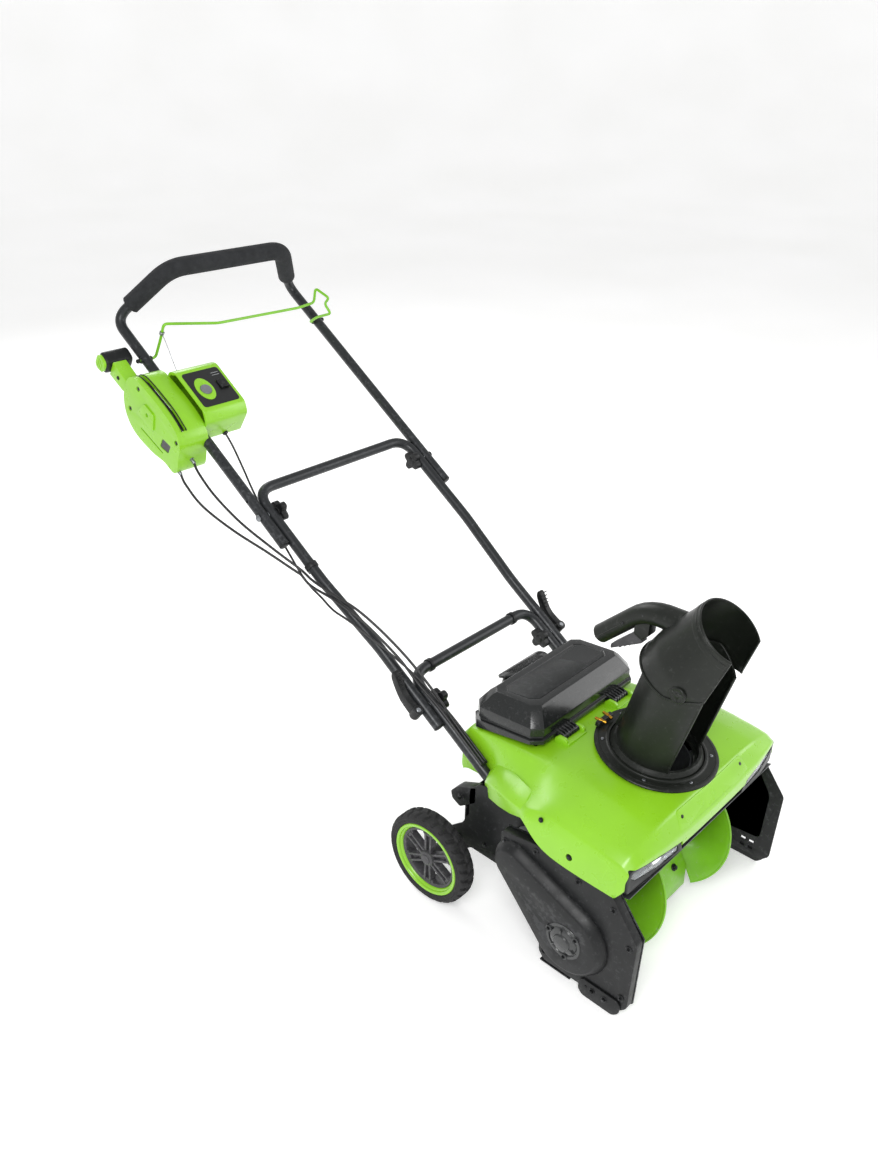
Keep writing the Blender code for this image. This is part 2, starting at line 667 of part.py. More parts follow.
def wheel(name, side, spin):
    """A tyre, its bright rim and a spoked hub, all turning on the axle."""
    centre = (0, 0, WHEEL_RADIUS)
    outer, inner = WHEEL_OUTER_X, WHEEL_OUTER_X - WHEEL_WIDTH

    def x(value):
        return side * value

    tyre = [
        (RIM_RADIUS + GAP, x(outer - 0.004)),
        (0.086, x(outer - 0.001)),
        (0.0945, x(outer - 0.004)),
        (WHEEL_RADIUS, x(outer - 0.011)),
        (WHEEL_RADIUS, x(inner + 0.011)),
        (0.0945, x(inner + 0.004)),
        (0.086, x(inner + 0.001)),
        (RIM_RADIUS + GAP, x(inner + 0.004)),
    ]
    solid(f"wheel_tyre_{name}", lathe(tyre, 32, centre=centre), "rubber", spin, centre)
    rim = [
        (0.0670, x(outer - 0.0100)),
        (0.0700, x(outer - 0.0035)),
        (RIM_RADIUS, x(outer - 0.0030)),
        (RIM_RADIUS, x(inner + 0.0040)),
        (0.0670, x(inner + 0.0060)),
    ]
    solid(f"wheel_rim_{name}", lathe(rim, 32, centre=centre), "green_shell", spin, centre)
    disc = [(0.0666, x(outer - 0.0100)), (0.0666, x(inner + 0.0080)), (0.0150, x(inner + 0.0080))]
    disc += [(0.0150, x(inner + 0.0005)), (0.0066, x(inner + 0.0005)), (0.0066, x(outer - 0.0050))]
    disc += [(0.0, x(outer - 0.0050)), (0.0, x(outer - 0.0020)), (0.0150, x(outer - 0.0025))]
    disc += [(0.0180, x(outer - 0.0090))]
    hub = solid(f"wheel_hub_{name}", lathe(disc, 32, centre=centre), "hub_plastic", spin, centre)
    pockets = []
    for number in range(6):
        start = number * 60 + 11
        wedge = arc((0, WHEEL_RADIUS), 0.0590, start + 2, start + 36, 4)
        wedge += arc((0, WHEEL_RADIUS), 0.0250, start + 30, start + 8, 2)
        pockets.append(prism(wedge, side * (inner - 0.01), side * (outer + 0.01)))
    cut(hub, together(*pockets))


def auger_flight(spin, name, side, high):
    """One spiral round its own sleeve on the shaft. It works the snow inwards from that end."""
    centre = Vector((0, AUGER_Y, AUGER_Z))
    low, steps = 0.088, 22
    rows = []
    for step in range(steps + 1):
        share = step / steps
        angle = math.radians(-60 + 300 * share) * side
        x = side * (high - (high - low) * share)
        row = []
        for radius in (0.0225, 0.060, AUGER_RADIUS - 0.002):
            row.append(centre + Vector((x, radius * math.cos(angle), radius * math.sin(angle))))
        rows.append(row)
    spiral = solid(name, sheet(rows, 0.0040), "green_steel", spin, centre)
    ends = (side * 0.0850, side * (high + 0.0005))
    sleeve = [(0.0086, ends[0]), (0.0240, ends[0]), (0.0240, ends[1]), (0.0086, ends[1])]
    join(spiral, lathe(sleeve, 20, centre=centre))


def auger(spin):
    """The shaft, a spiral at each end, and the double paddle in the middle that throws the snow."""
    centre = Vector((0, AUGER_Y, AUGER_Z))
    solid("auger_shaft", rod(0.0082, -0.2655, 0.2635, centre=centre), "bright_steel", spin, centre)
    auger_flight(spin, "auger_flight_right", -1, 0.2330)
    auger_flight(spin, "auger_flight_left", 1, 0.2500)
    sleeve = lathe([(0.0086, -0.084), (0.024, -0.084), (0.024, 0.084), (0.0086, 0.084)], 20, centre=centre)
    paddle = solid("auger_paddle", sleeve, "green_steel", spin, centre)
    section = [(0.018, -0.010), (0.060, -0.016), (AUGER_RADIUS, 0.000), (AUGER_RADIUS, 0.004)]
    section += [(0.060, -0.011), (0.018, -0.004)]
    for turn in (248, 68):
        tilt = Matrix.Translation(centre) @ Matrix.Rotation(math.radians(turn), 4, "X")
        join(paddle, placed(prism(section, -0.0820, 0.0820), tilt))


# ---------------------------------------------------------------- lid


def lid_ring(inset, front_z, rear_z, corner, rear_inset=None):
    """One ring round the lid: an oblong with its corners cut, drawn in from the lid's own edge."""
    half_x = LID_HALF_X - inset
    front = LID_FRONT_Y + inset
    rear = LID_REAR_Y - (inset if rear_inset is None else rear_inset)
    return [
        (-half_x + corner, front, front_z),
        (half_x - corner, front, front_z),
        (half_x, front + corner, front_z),
        (half_x, rear - corner, rear_z),
        (half_x - corner, rear, rear_z),
        (-half_x + corner, rear, rear_z),
        (-half_x, rear - corner, rear_z),
        (-half_x, front + corner, front_z),
    ]


def battery_lid(pivot, latch_pivot):
    """The black lid: a stepped rim, a domed top with chamfered sides, its hinge arms and its latch."""
    outside = [
        lid_ring(0.000, 0.3765, 0.3520, 0.018),
        lid_ring(0.000, 0.3850, 0.3700, 0.018),
        lid_ring(0.005, 0.3862, 0.3712, 0.018),
        lid_ring(0.006, 0.4080, 0.3980, 0.018),
        lid_ring(0.028, 0.4380, 0.4300, 0.012),
    ]
    inside = [
        lid_ring(0.012, 0.3600, 0.3400, 0.014),
        lid_ring(0.012, 0.4040, 0.3940, 0.014),
        lid_ring(0.031, 0.4340, 0.4260, 0.010),
    ]
    obj = solid("battery_lid", stacked(outside), "gloss_plastic", pivot)
    cut(obj, stacked(inside))
    section = [(-0.1450, 0.3790), (-0.1450, 0.3850), (-0.1660, 0.3832), (-0.1702, 0.3800)]
    section += [(-0.1702, 0.3762), (-0.1620, 0.3762)]
    join(obj, *[prism(section, middle - 0.0150, middle + 0.0150) for middle in LID_HINGE_X])
    cut(obj, rod(0.0018, -0.120, 0.120, centre=(0, LID_HINGE_Y, LID_HINGE_Z), steps=12))
    section = [(0.0124, 0.3700), (0.0124, 0.4080), (0.0164, 0.4080), (0.0200, 0.3860), (0.0200, 0.3700)]
    tab = solid("lid_latch", prism(section, -0.0320, 0.0320), "gloss_plastic", latch_pivot)
    bevel(tab, 0.0015, 1)


def lid_hinge_brackets():
    """Two brackets for the hood, with the pins that the lid turns on."""
    brackets = []
    for middle in LID_HINGE_X:
        outline = [(-0.1780, 0.3700), (-0.1780, 0.3830), (-0.1580, 0.3830)]
        outline += [(-0.1540, 0.3760), (-0.1540, 0.3700)]
        for side in (-1, 1):
            near, far = ordered(side, 0.0156, 0.0220)
            brackets.append(prism(outline, middle + near, middle + far))
    pins = []
    for middle in LID_HINGE_X:
        pin = rod(0.0014, middle - 0.0200, middle + 0.0200, centre=(0, LID_HINGE_Y, LID_HINGE_Z), steps=12)
        pins.append(pin)
    return together(*brackets), together(*pins)


# ---------------------------------------------------------------- chute


def half_tube(radius, opening, bottom, top, rows):
    """A round wall open towards -Y by an angle each side. bottom and top give heights for an angle."""
    columns = 16
    grids = []
    for reach in (radius, radius - CHUTE_T):
        grid = []
        for row in range(rows + 1):
            points = []
            for column in range(columns + 1):
                angle = math.radians(-90 + opening + (360 - 2 * opening) * column / columns)
                low, high = bottom(angle), top(angle)
                z = low + (high - low) * row / rows
                points.append((reach * math.cos(angle), reach * math.sin(angle), z))
            grid.append(points)
        grids.append(grid)
    return shell(*grids)


def chute_foot(angle):
    """The tube's lower edge, which lies along the ring."""
    return 0.0050 - 0.0096 * math.sin(angle)


def chute_top(angle):
    """The tube's upper edge: low at the opening, and highest at the deflector's pivots."""
    front = max(-math.sin(angle), 0)
    back = max(math.sin(angle), 0)
    return 0.2220 - 0.0380 * front - 0.0220 * back


def deflector_foot(angle):
    """The deflector's lower edge, which clears the tube as it tilts."""
    front = max(-math.sin(angle), 0)
    back = max(math.sin(angle), 0)
    return -0.0280 + 0.0680 * front**1.2 - 0.0160 * back


def deflector_mouth(angle):
    """The deflector's upper edge: the mouth, which rises to the back."""
    return 0.0880 + 0.0200 * math.sin(angle)


def chute(pivot):
    """The turning chute: a whole collar in the ring, then a wall that is open to the front."""
    base = half_tube(CHUTE_RADIUS, 47, chute_foot, chute_top, 4)
    obj = solid("chute", placed(base, CHUTE_FRAME), "black_plastic", pivot)
    collar = [(0.0745, 0.0046), (0.0860, 0.0046), (0.0860, 0.0088), (0.0800, 0.0120), (0.0745, 0.0120)]
    join(obj, placed(lathe(collar, 32, "Z"), RING_FRAME))


def deflector(pivot, trigger_pivot):
    """The hood at the chute's top, its hand grip, and the trigger under the grip."""
    wall = half_tube(DEFLECTOR_RADIUS, 44, deflector_foot, deflector_mouth, 5)
    obj = solid("deflector", placed(wall, DEFLECTOR_FRAME), "black_plastic", pivot)
    grip = rounded(((0, -0.325, 0.640), (0, -0.246, 0.640), (0, -0.156, 0.553)), 0.045, 4)
    bosses = []
    for side in (-1, 1):
        low, high = ordered(side, DEFLECTOR_RADIUS - 0.0020, DEFLECTOR_RADIUS + 0.0030)
        bosses.append(rod(0.0150, low, high, centre=(0, DEFLECTOR_PIVOT_Y, 0), steps=20))
    join(obj, tube_mesh(grip, 0.0150, 2), placed(together(*bosses), DEFLECTOR_FRAME))
    inside = rod(DEFLECTOR_RADIUS - CHUTE_T - 0.0010, -0.060, 0.160, "Z", steps=32)
    cut(obj, placed(inside, DEFLECTOR_FRAME))
    section = [(-0.2420, 0.5900), (-0.2290, 0.5905), (-0.1855, 0.5485), (-0.1860, 0.5395)]
    section += [(-0.2140, 0.5560), (-0.2480, 0.5760)]
    paddle = solid("deflector_trigger", prism(section, -0.0085, 0.0085), "hub_plastic", trigger_pivot)
    bevel(paddle, 0.002, 1)


# ---------------------------------------------------------------- handle


def fold_holes(x, s, radius=0.0038):
    """A pair of cross holes through both legs at a fold."""
    bars = [rod(radius, side * x - 0.03, side * x + 0.03, centre=(0, s, 0), steps=12) for side in (-1, 1)]
    return placed(together(*bars), HANDLE_FRAME)


def mirrored(half):
    """A path for half a handle, and then the same path back down the other side."""
    return half + [(-x, s, v) for x, s, v in half[::-1]]


def handle_tube(name, corners, radius, pivot):
    """One bent tube of the handle, the same both sides, from half its corner points."""
    path = rounded(mirrored(corners), radius, 4)
    return solid(name, tube_mesh(path, TUBE_RADIUS, 2, HANDLE_FRAME), "tube_steel", pivot)


def handles(root, mid_pivot, upper_pivot):
    """The three tubes that fold on each other, and the foam grip round the last one's cross part."""
    lower = [(-LOWER_LEG_X, -0.205, 0), (-LOWER_LEG_X, 0.0686, 0)]
    mid = [
        (-MID_LEG_LOW_X, -0.045, 0),
        (-MID_LEG_LOW_X, 0.150, 0),
        (-MID_LEG_LOW_X - 0.003, 0.185, 0),
        (-MID_LEG_TOP_X + 0.003, 0.285, 0),
        (-MID_LEG_TOP_X, 0.320, 0),
        (-MID_LEG_TOP_X, MID_TOP_S, 0),
    ]
    shoulder, corner = (-UPPER_LEG_X, UPPER_BEND_S, 0), (-LOOP_X, LOOP_S, LOOP_V)
    upper = [(-UPPER_LEG_X, UPPER_END_S, 0), shoulder, corner]
    cut(handle_tube("lower_handle", lower, 0.040, root), fold_holes(LOWER_LEG_X, 0.0))
    obj = handle_tube("mid_handle", mid, 0.045, mid_pivot)
    cut(obj, fold_holes(MID_LEG_LOW_X, 0.0), fold_holes(MID_LEG_TOP_X, UPPER_FOLD_S))
    obj = handle_tube("upper_handle", upper, 0.036, upper_pivot)
    cut(obj, fold_holes(UPPER_LEG_X, UPPER_FOLD_S), fold_holes(UPPER_LEG_X, BAIL_S, BAIL_RADIUS + 0.0004))
    foot = Vector(shoulder).lerp(Vector(corner), 0.27)
    path = rounded(mirrored([tuple(foot), corner]), 0.036, 4)
    foam = solid("foam_grip", tube_mesh(path, FOAM_RADIUS, 2, HANDLE_FRAME), "foam", upper_pivot)
    cut(foam, tube_mesh(rounded(mirrored(upper), 0.036, 4), TUBE_RADIUS + GAP, 2, HANDLE_FRAME))


def star_outline(radius, lobes, depth):
    """A hand knob's rim, with round lobes."""
    count = lobes * 6
    points = []
    for i in range(count):
        angle = math.tau * i / count
        reach = radius - depth * (0.5 - 0.5 * math.cos(lobes * angle)) ** 1.5
        points.append((reach * math.cos(angle), reach * math.sin(angle)))
    return points


def place_frame(pivot):
    """The handle's slope at a pivot on its line."""
    place = place_of(pivot)
    return Matrix.Translation((0, place.y, place.z)) @ Matrix.Rotation(HANDLE_PITCH, 4, "X")


def star_knob(name, pivot, side, inner_x, outer_x, head):
    """A hand knob inside a fold with its stud through both tubes, and a round head on the stud's end."""
    frame = place_frame(pivot)
    face = inner_x - TUBE_RADIUS - 0.0010
    far = outer_x + TUBE_RADIUS + 0.0012
    lobes = prism(star_outline(0.0175, 4, 0.0065), *ordered(side, face - 0.0130, face - 0.0020))
    obj = solid(name, placed(lobes, frame), "black_plastic", pivot)
    collar = rod(0.0080, *ordered(side, face - 0.0040, face), steps=16)
    stud = rod(0.0030, *ordered(side, face - 0.0030, far if head else far - 0.0006), steps=12)
    join(obj, placed(collar, frame), placed(stud, frame))
    if head:
        join(obj, placed(rod(0.0075, *ordered(side, far - 0.0004, far + 0.0030), steps=16), frame))


CAM_BOSS_X = MID_LEG_LOW_X + TUBE_RADIUS + 0.0014 + 0.0105


def cam_lever(name, pivot, side):
    """The quick-release lever outside the lower fold: a round boss and a long curved arm up the tube."""
    frame = place_frame(pivot)
    boss = rod(0.0105, -0.0120, 0.0120, "Z", centre=(side * CAM_BOSS_X, 0, 0), steps=20)
    obj = solid(name, placed(boss, frame), "black_plastic", pivot)
    section = [(0.0, -0.009), (0.030, -0.010), (0.060, 0.000), (0.080, 0.012), (0.086, 0.022)]
    section += [(0.078, 0.026), (0.060, 0.017), (0.035, 0.008), (0.0, 0.009)]
    arm = prism(section, *ordered(side, CAM_BOSS_X - 0.0070, CAM_BOSS_X + 0.0070))
    join(obj, placed(arm, frame))


def boxed(bm):
    """A mesh given as (x, up the handle from the box's middle, off the tube), put in place."""
    return placed(bm, HANDLE_FRAME @ Matrix.Translation((0, BOX_S, 0)))


DRUM_OUTLINE = [
    (0.098, -0.004),
    (0.090, 0.018),
    (0.062, 0.030),
    (-0.020, 0.036),
    (-0.070, 0.030),
    (-0.096, 0.012),
    (-0.104, -0.020),
    (-0.112, -0.046),
    (-0.104, -0.062),
    (-0.070, -0.066),
    (-0.030, -0.080),
    (0.030, -0.088),
    (0.070, -0.074),
    (0.094, -0.042),
]
PANEL_OUTLINE = [
    (0.066, -0.022),
    (0.066, 0.038),
    (0.050, 0.052),
    (-0.060, 0.052),
    (-0.078, 0.036),
    (-0.078, -0.022),
    (-0.040, -0.034),
    (0.040, -0.034),
]


JOYSTICK_X = -0.28825
JOYSTICK_V = -0.0250


def control_box(upper_pivot):
    """The two-part green case round the tube: a drum over the chute's cables, and the switch panel."""
    split = -UPPER_LEG_X
    drum = boxed(prism(DRUM_OUTLINE, -0.3080, split - 0.0003))
    outer = bevel(solid("control_box_outer", drum, "green_shell", upper_pivot), 0.006, 1)
    slot = prism([(0.112, 0.060), (0.112, -0.040), (-0.075, -0.040), (-0.075, 0.060)], -0.2920, -0.2845)
    hollow = prism(shrunk(DRUM_OUTLINE, 0.93), -0.3045, split + 0.010)
    channels = [rod(TUBE_RADIUS + GAP, -0.20, 0.20, "Y", centre=(split, 0, 0), steps=20) for _ in range(2)]
    cut(outer, boxed(hollow), boxed(slot), boxed(channels[0]))
    panel = boxed(prism(PANEL_OUTLINE, split + 0.0003, -0.1330))
    inner = bevel(solid("control_box_inner", panel, "green_shell", upper_pivot), 0.006, 1)
    hollow = prism(shrunk(PANEL_OUTLINE, 0.90), split - 0.010, -0.1370)
    well = rod(0.0125, 0.0400, 0.0700, "Z", centre=(-0.1990, -0.0100, 0), steps=20)
    pocket = block((-0.1660, -0.1440), (-0.0180, 0.0060), (0.0400, 0.0700))
    cut(inner, boxed(hollow), boxed(channels[1]), boxed(well), boxed(pocket))


def start_button(pivot):
    """The round grey button that the operator presses to start the auger."""
    button = boxed(rod(0.0120, 0.0440, 0.0560, "Z", centre=(-0.1990, -0.0100, 0), steps=20))
    bevel(solid("start_button", button, "grey_button", pivot), 0.0012, 1)


def rocker_switch(pivot):
    """The headlights' rocker."""
    section = [(-0.0172, 0.0480), (-0.0172, 0.0590), (-0.0060, 0.0560), (0.0052, 0.0562)]
    section += [(0.0052, 0.0480), (-0.0060, 0.0420)]
    solid("rocker_switch", boxed(prism(section, -0.1652, -0.1448)), "black_plastic", pivot)


def joystick(swing_pivot, twist_pivot):
    """The chute's control: a lever that swings in the drum's slot, and a cross grip that twists on it."""
    stalk = rod(0.0030, -0.0060, 0.1060, "Y", centre=(JOYSTICK_X, 0, JOYSTICK_V), steps=12)
    lever = solid("joystick_lever", boxed(stalk), "green_shell", swing_pivot)
    housing = [(0.1030, -0.0370), (0.1030, -0.0130), (0.1560, -0.0100), (0.1560, -0.0400)]
    join(lever, boxed(prism(housing, -0.3010, -0.2755)))
    section = [(0.1564, -0.0360), (0.1564, -0.0140), (0.1660, -0.0060), (0.1840, -0.0060)]
    section += [(0.1900, -0.0150), (0.1900, -0.0350), (0.1820, -0.0440), (0.1660, -0.0440)]
    grip = solid("joystick_grip", boxed(prism(section, -0.3200, -0.2520)), "black_plastic", twist_pivot)
    bevel(grip, 0.005, 2)


def bail(pivot):
    """The bright green rod that the operator squeezes towards the grip."""
    x, s = UPPER_LEG_X, BAIL_S
    path = [
        (-x - 0.020, s, 0),
        (-x + 0.024, s, 0),
        (-x + 0.026, s + 0.004, 0.050),
        (-x + 0.028, s + 0.010, 0.086),
        (-0.095, s - 0.020, 0.090),
        (0.150, s - 0.004, 0.064),
        (0.200, s + 0.000, 0.066),
        (0.204, s + 0.016, 0.094),
        (0.210, s - 0.026, 0.102),
        (0.212, s - 0.020, 0.078),
        (0.214, s - 0.046, 0.072),
        (0.214, s - 0.014, 0.030),
        (x - 0.022, s, 0),
        (x + 0.018, s, 0),
    ]
    wire = tube_mesh(rounded(path, 0.008, 2), BAIL_RADIUS, 1, HANDLE_FRAME)
    solid("bail_bar", wire, "green_steel", pivot)


# Each cable's route as (x, up the handle, off the tube), from the control box down to the clip at the
# upper fold, and from the clip down into the hood.
UPPER_RUNS = {
    "turn_cable_upper": [
        (-0.2990, BOX_S - 0.1150, -0.0560),
        (-0.3020, 0.660, -0.0600),
        (-0.3010, 0.600, -0.0580),
        (-0.2860, 0.520, -0.0440),
        (-0.2620, 0.440, -0.0280),
        (-0.2420, 0.380, -0.0200),
        (-0.2360, 0.362, -0.0170),
    ],
    "tilt_cable_upper": [
        (-0.2740, BOX_S - 0.1140, -0.0300),
        (-0.2780, 0.660, -0.0330),
        (-0.2790, 0.600, -0.0330),
        (-0.2720, 0.520, -0.0260),
        (-0.2560, 0.440, -0.0150),
        (-0.2400, 0.380, -0.0080),
        (-0.2345, 0.362, -0.0070),
    ],
    "switch_wire_upper": [
        (-0.1750, BOX_S - 0.0790, -0.0150),
        (-0.1740, 0.690, -0.0240),
        (-0.1800, 0.640, -0.0330),
        (-0.1950, 0.580, -0.0330),
        (-0.2080, 0.520, -0.0300),
        (-0.2180, 0.440, -0.0270),
        (-0.2260, 0.390, -0.0250),
        (-0.2290, 0.362, -0.0250),
    ],
}
LOWER_RUNS = {
    "turn_cable_lower": [
        (-0.2360, 0.361, -0.0170),
        (-0.2340, 0.330, -0.0150),
        (-0.2280, 0.280, 0.0070),
        (-0.2200, 0.230, 0.0220),
        (-0.2090, 0.170, 0.0260),
        (-0.2000, 0.100, 0.0270),
        (-0.1960, 0.040, 0.0220),
        (-0.1900, -0.010, 0.0200),
        (-0.1870, -0.060, 0.0170),
        (-0.1865, -0.155, 0.0150),
    ],
    "tilt_cable_lower": [
        (-0.2345, 0.361, -0.0070),
        (-0.2330, 0.330, 0.0000),
        (-0.2260, 0.280, 0.0170),
        (-0.2150, 0.230, 0.0320),
        (-0.2020, 0.170, 0.0360),
        (-0.1920, 0.100, 0.0370),
        (-0.1860, 0.040, 0.0330),
        (-0.1815, -0.010, 0.0260),
        (-0.1795, -0.060, 0.0180),
        (-0.1795, -0.155, 0.0150),
    ],
    "switch_wire_lower": [
        (-0.2290, 0.361, -0.0250),
        (-0.2290, 0.330, -0.0240),
        (-0.2270, 0.300, -0.0200),
        (-0.2340, 0.260, -0.0040),
        (-0.2290, 0.220, 0.0100),
        (-0.2160, 0.170, 0.0150),
        (-0.2020, 0.120, 0.0175),
        (-0.1880, 0.060, 0.0190),
        (-0.1790, 0.000, 0.0170),
        (-0.1735, -0.050, 0.0160),
        (-0.1730, -0.155, 0.0150),
    ],
}


def cables(runs, pivot):
    """The two chute cables and the switch's wire, along one part of their way."""
    for name, points in runs.items():
        radius = 0.0022 if name.startswith("switch") else 0.0026
        run = tube_mesh(smooth_path(points, 3), radius, 1, HANDLE_FRAME)
        solid(name, run, "rubber", pivot)


# ---------------------------------------------------------------- the whole object


def handle_place(x, s, v):
    return HANDLE_FRAME @ Vector((x, s, v))


def main():
    clear_scene()
    root = empty("machine", (0, 0, 0))
    hood(root)
    headlights(root)
    auger_housing(root)
    side_plates(root)
    drive_cover(root)
    bearing_cap(root)
    rear_chassis(root)
    wheel_axle(root)
    auger_spin = empty("auger_axis", (0, AUGER_Y, AUGER_Z), root)
    motor_spin = empty("motor_axis", (0, MOTOR_Y, MOTOR_Z), root)
    motor_and_drive(root, motor_spin, auger_spin)
    battery(root)
    scraper_and_skids(root)
    chute_ring(root)
    wheel("right", -1, empty("right_wheel_axis", (0, 0, WHEEL_RADIUS), root))
    wheel("left", 1, empty("left_wheel_axis", (0, 0, WHEEL_RADIUS), root))
    auger(auger_spin)

    lid_pivot = empty("lid_axis", (0, LID_HINGE_Y, LID_HINGE_Z), root)
    battery_lid(lid_pivot, empty("latch_axis", (0, 0.0160, 0.3860), lid_pivot))

    chute_axis = empty("chute_axis", (0, RING_Y, RING_Z), root)
    chute(chute_axis)
    tilt_place = CHUTE_FRAME @ Vector((0, DEFLECTOR_PIVOT_Y, DEFLECTOR_PIVOT_Z))
    tilt_axis = empty("deflector_axis", tilt_place, chute_axis)
    deflector(tilt_axis, empty("trigger_axis", (0, -0.2400, 0.5830), tilt_axis))

    mid_pivot = empty("mid_fold_axis", handle_place(0, 0, 0), root)
    upper_pivot = empty("upper_fold_axis", handle_place(0, UPPER_FOLD_S, 0), mid_pivot)
    handles(root, mid_pivot, upper_pivot)
    for name, side in (("right", -1), ("left", 1)):
        low = empty(f"lower_knob_axis_{name}", handle_place(0, 0, 0), root)
        star_knob(f"lower_star_knob_{name}", low, side, LOWER_LEG_X, MID_LEG_LOW_X, False)
        cam = empty(f"cam_axis_{name}", handle_place(side * CAM_BOSS_X, 0, 0), mid_pivot)
        cam_lever(f"cam_lever_{name}", cam, side)
        high = empty(f"upper_knob_axis_{name}", handle_place(0, UPPER_FOLD_S, 0), mid_pivot)
        star_knob(f"upper_star_knob_{name}", high, side, MID_LEG_TOP_X, UPPER_LEG_X, True)
    control_box(upper_pivot)
    start_button(empty("start_axis", handle_place(-0.1990, BOX_S - 0.0100, 0.0480), upper_pivot))
    rocker_switch(empty("rocker_axis", handle_place(-0.1550, BOX_S - 0.0060, 0.0500), upper_pivot))
    swing = empty("joystick_axis", handle_place(JOYSTICK_X, BOX_S, JOYSTICK_V), upper_pivot)
    twist = empty("joystick_twist_axis", handle_place(JOYSTICK_X, BOX_S + 0.1500, JOYSTICK_V), swing)
    joystick(swing, twist)
    bail(empty("bail_axis", handle_place(0, BAIL_S, 0), upper_pivot))
    cables(UPPER_RUNS, upper_pivot)
    cables(LOWER_RUNS, mid_pivot)


if __name__ == "__main__":
    main()
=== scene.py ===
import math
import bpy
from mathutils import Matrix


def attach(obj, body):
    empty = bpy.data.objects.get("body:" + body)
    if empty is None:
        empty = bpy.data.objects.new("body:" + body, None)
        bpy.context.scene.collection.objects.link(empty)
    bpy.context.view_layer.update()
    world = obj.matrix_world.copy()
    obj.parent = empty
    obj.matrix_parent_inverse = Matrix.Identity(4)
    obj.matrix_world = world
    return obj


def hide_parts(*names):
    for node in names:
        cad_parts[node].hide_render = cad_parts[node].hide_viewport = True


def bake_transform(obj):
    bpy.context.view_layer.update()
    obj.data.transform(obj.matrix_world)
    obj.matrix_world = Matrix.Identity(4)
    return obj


bl_info = {
    "name": "Battery snow thrower",
    "version": (1, 0, 0),
    "blender": (4, 5, 0),
    "location": "3D View > Sidebar > Snow thrower",
    "description": "Dresses a single-stage battery snow thrower: shapes, finishes and a plain studio",
    "category": "Object",
}

import bmesh
import bpy
from bpy.props import FloatProperty, FloatVectorProperty, IntProperty, PointerProperty
from mathutils import Matrix, Vector

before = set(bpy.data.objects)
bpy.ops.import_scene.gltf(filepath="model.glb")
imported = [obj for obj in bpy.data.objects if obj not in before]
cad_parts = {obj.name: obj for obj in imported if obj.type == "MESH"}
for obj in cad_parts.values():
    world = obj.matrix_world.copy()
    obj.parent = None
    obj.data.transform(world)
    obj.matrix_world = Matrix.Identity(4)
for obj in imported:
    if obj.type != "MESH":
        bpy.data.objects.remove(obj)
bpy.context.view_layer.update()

# Lengths along the machine are measured from the wheel axle and heights from the ground, in metres.
SHIFT = Vector((0.01375, -0.2554, 0.0))

WHEEL_Z = 0.098
WHEEL_OUTER_X = 0.2935
WHEEL_WIDTH = 0.044
PLATE_X = 0.262
PLATE_T = 0.003
DRIVE_WALL_X = 0.24
AUGER_Y, AUGER_Z = -0.325, 0.116
AUGER_RADIUS = 0.103
SCOOP_RADIUS = 0.108
MOTOR_Y, MOTOR_Z = -0.195, 0.205
RING_RADIUS = 0.114
CHUTE_RADIUS = 0.078
DEFLECTOR_RADIUS = 0.0845
DEFLECTOR_PIVOT = Vector((0, -0.018, 0.205))  # in the chute's own frame
LID_HALF_X = 0.16
LID_FRONT_Y, LID_REAR_Y = -0.152, 0.012
LID_HINGE_Y, LID_HINGE_Z = -0.166, 0.3796
HANDLE_PITCH = math.radians(33.8)
LOWER_LEG_X = 0.1797
MID_LEG_LOW_X, MID_LEG_TOP_X = 0.2021, 0.2151
UPPER_LEG_X = 0.2375
UPPER_FOLD_S = 0.5017
BAIL_S = 0.94
BOX_S = 0.802

RING_FRAME = Matrix.Translation((0, -0.3, 0.3665)) @ Matrix.Rotation(math.radians(7), 4, "X")
CHUTE_FRAME = RING_FRAME @ Matrix.Rotation(math.radians(7), 4, "X")
DEFLECTOR_FRAME = (
    CHUTE_FRAME
    @ Matrix.Translation(DEFLECTOR_PIVOT)
    @ Matrix.Rotation(math.radians(17.5), 4, "X")
    @ Matrix.Translation((0, -DEFLECTOR_PIVOT.y, 0))
)
HANDLE_FRAME = Matrix.Translation((0, 0.089, 0.37)) @ Matrix.Rotation(HANDLE_PITCH, 4, "X")
BOX_FRAME = HANDLE_FRAME @ Matrix.Translation((0, BOX_S, 0))
UPPER_FOLD_FRAME = HANDLE_FRAME @ Matrix.Translation((0, UPPER_FOLD_S, 0))


# ---------------------------------------------------------------- finishes


def linear(hexadecimal):
    """A sRGB hex colour as the linear values that a shader takes."""
    channels = [int(hexadecimal[i : i + 2], 16) / 255 for i in (0, 2, 4)]
    values = [c / 12.92 if c <= 0.04045 else ((c + 0.055) / 1.055) ** 2.4 for c in channels]
    return (*values, 1.0)


def shade(colour, share):
    """A colour made lighter or darker by a share."""
    return (*[min(channel * share, 1.0) for channel in colour[:3]], 1.0)


def per_mm(size):
    """The texture scale at which one cell of a pattern is this many millimetres across."""
    return 1000.0 / size


def add(tree, kind, inputs=None, **settings):
    """Adds one node, with its settings, its values and the sockets that feed it."""
    made = tree.nodes.new(kind)
    for name, value in settings.items():
        setattr(made, name, value)
    for name, value in (inputs or {}).items():
        if isinstance(value, bpy.types.NodeSocket):
            tree.links.new(value, made.inputs[name])
        else:
            made.inputs[name].default_value = value
    return made


def ramp(tree, source, stops):
    """A colour ramp from (position, linear colour) stops."""
    made = add(tree, "ShaderNodeValToRGB", {"Fac": source})
    elements = made.color_ramp.elements
    while len(elements) < len(stops):
        elements.new(0.5)
    for element, (position, colour) in zip(elements, stops):
        element.position = position
        element.color = colour
    return made.outputs["Color"]


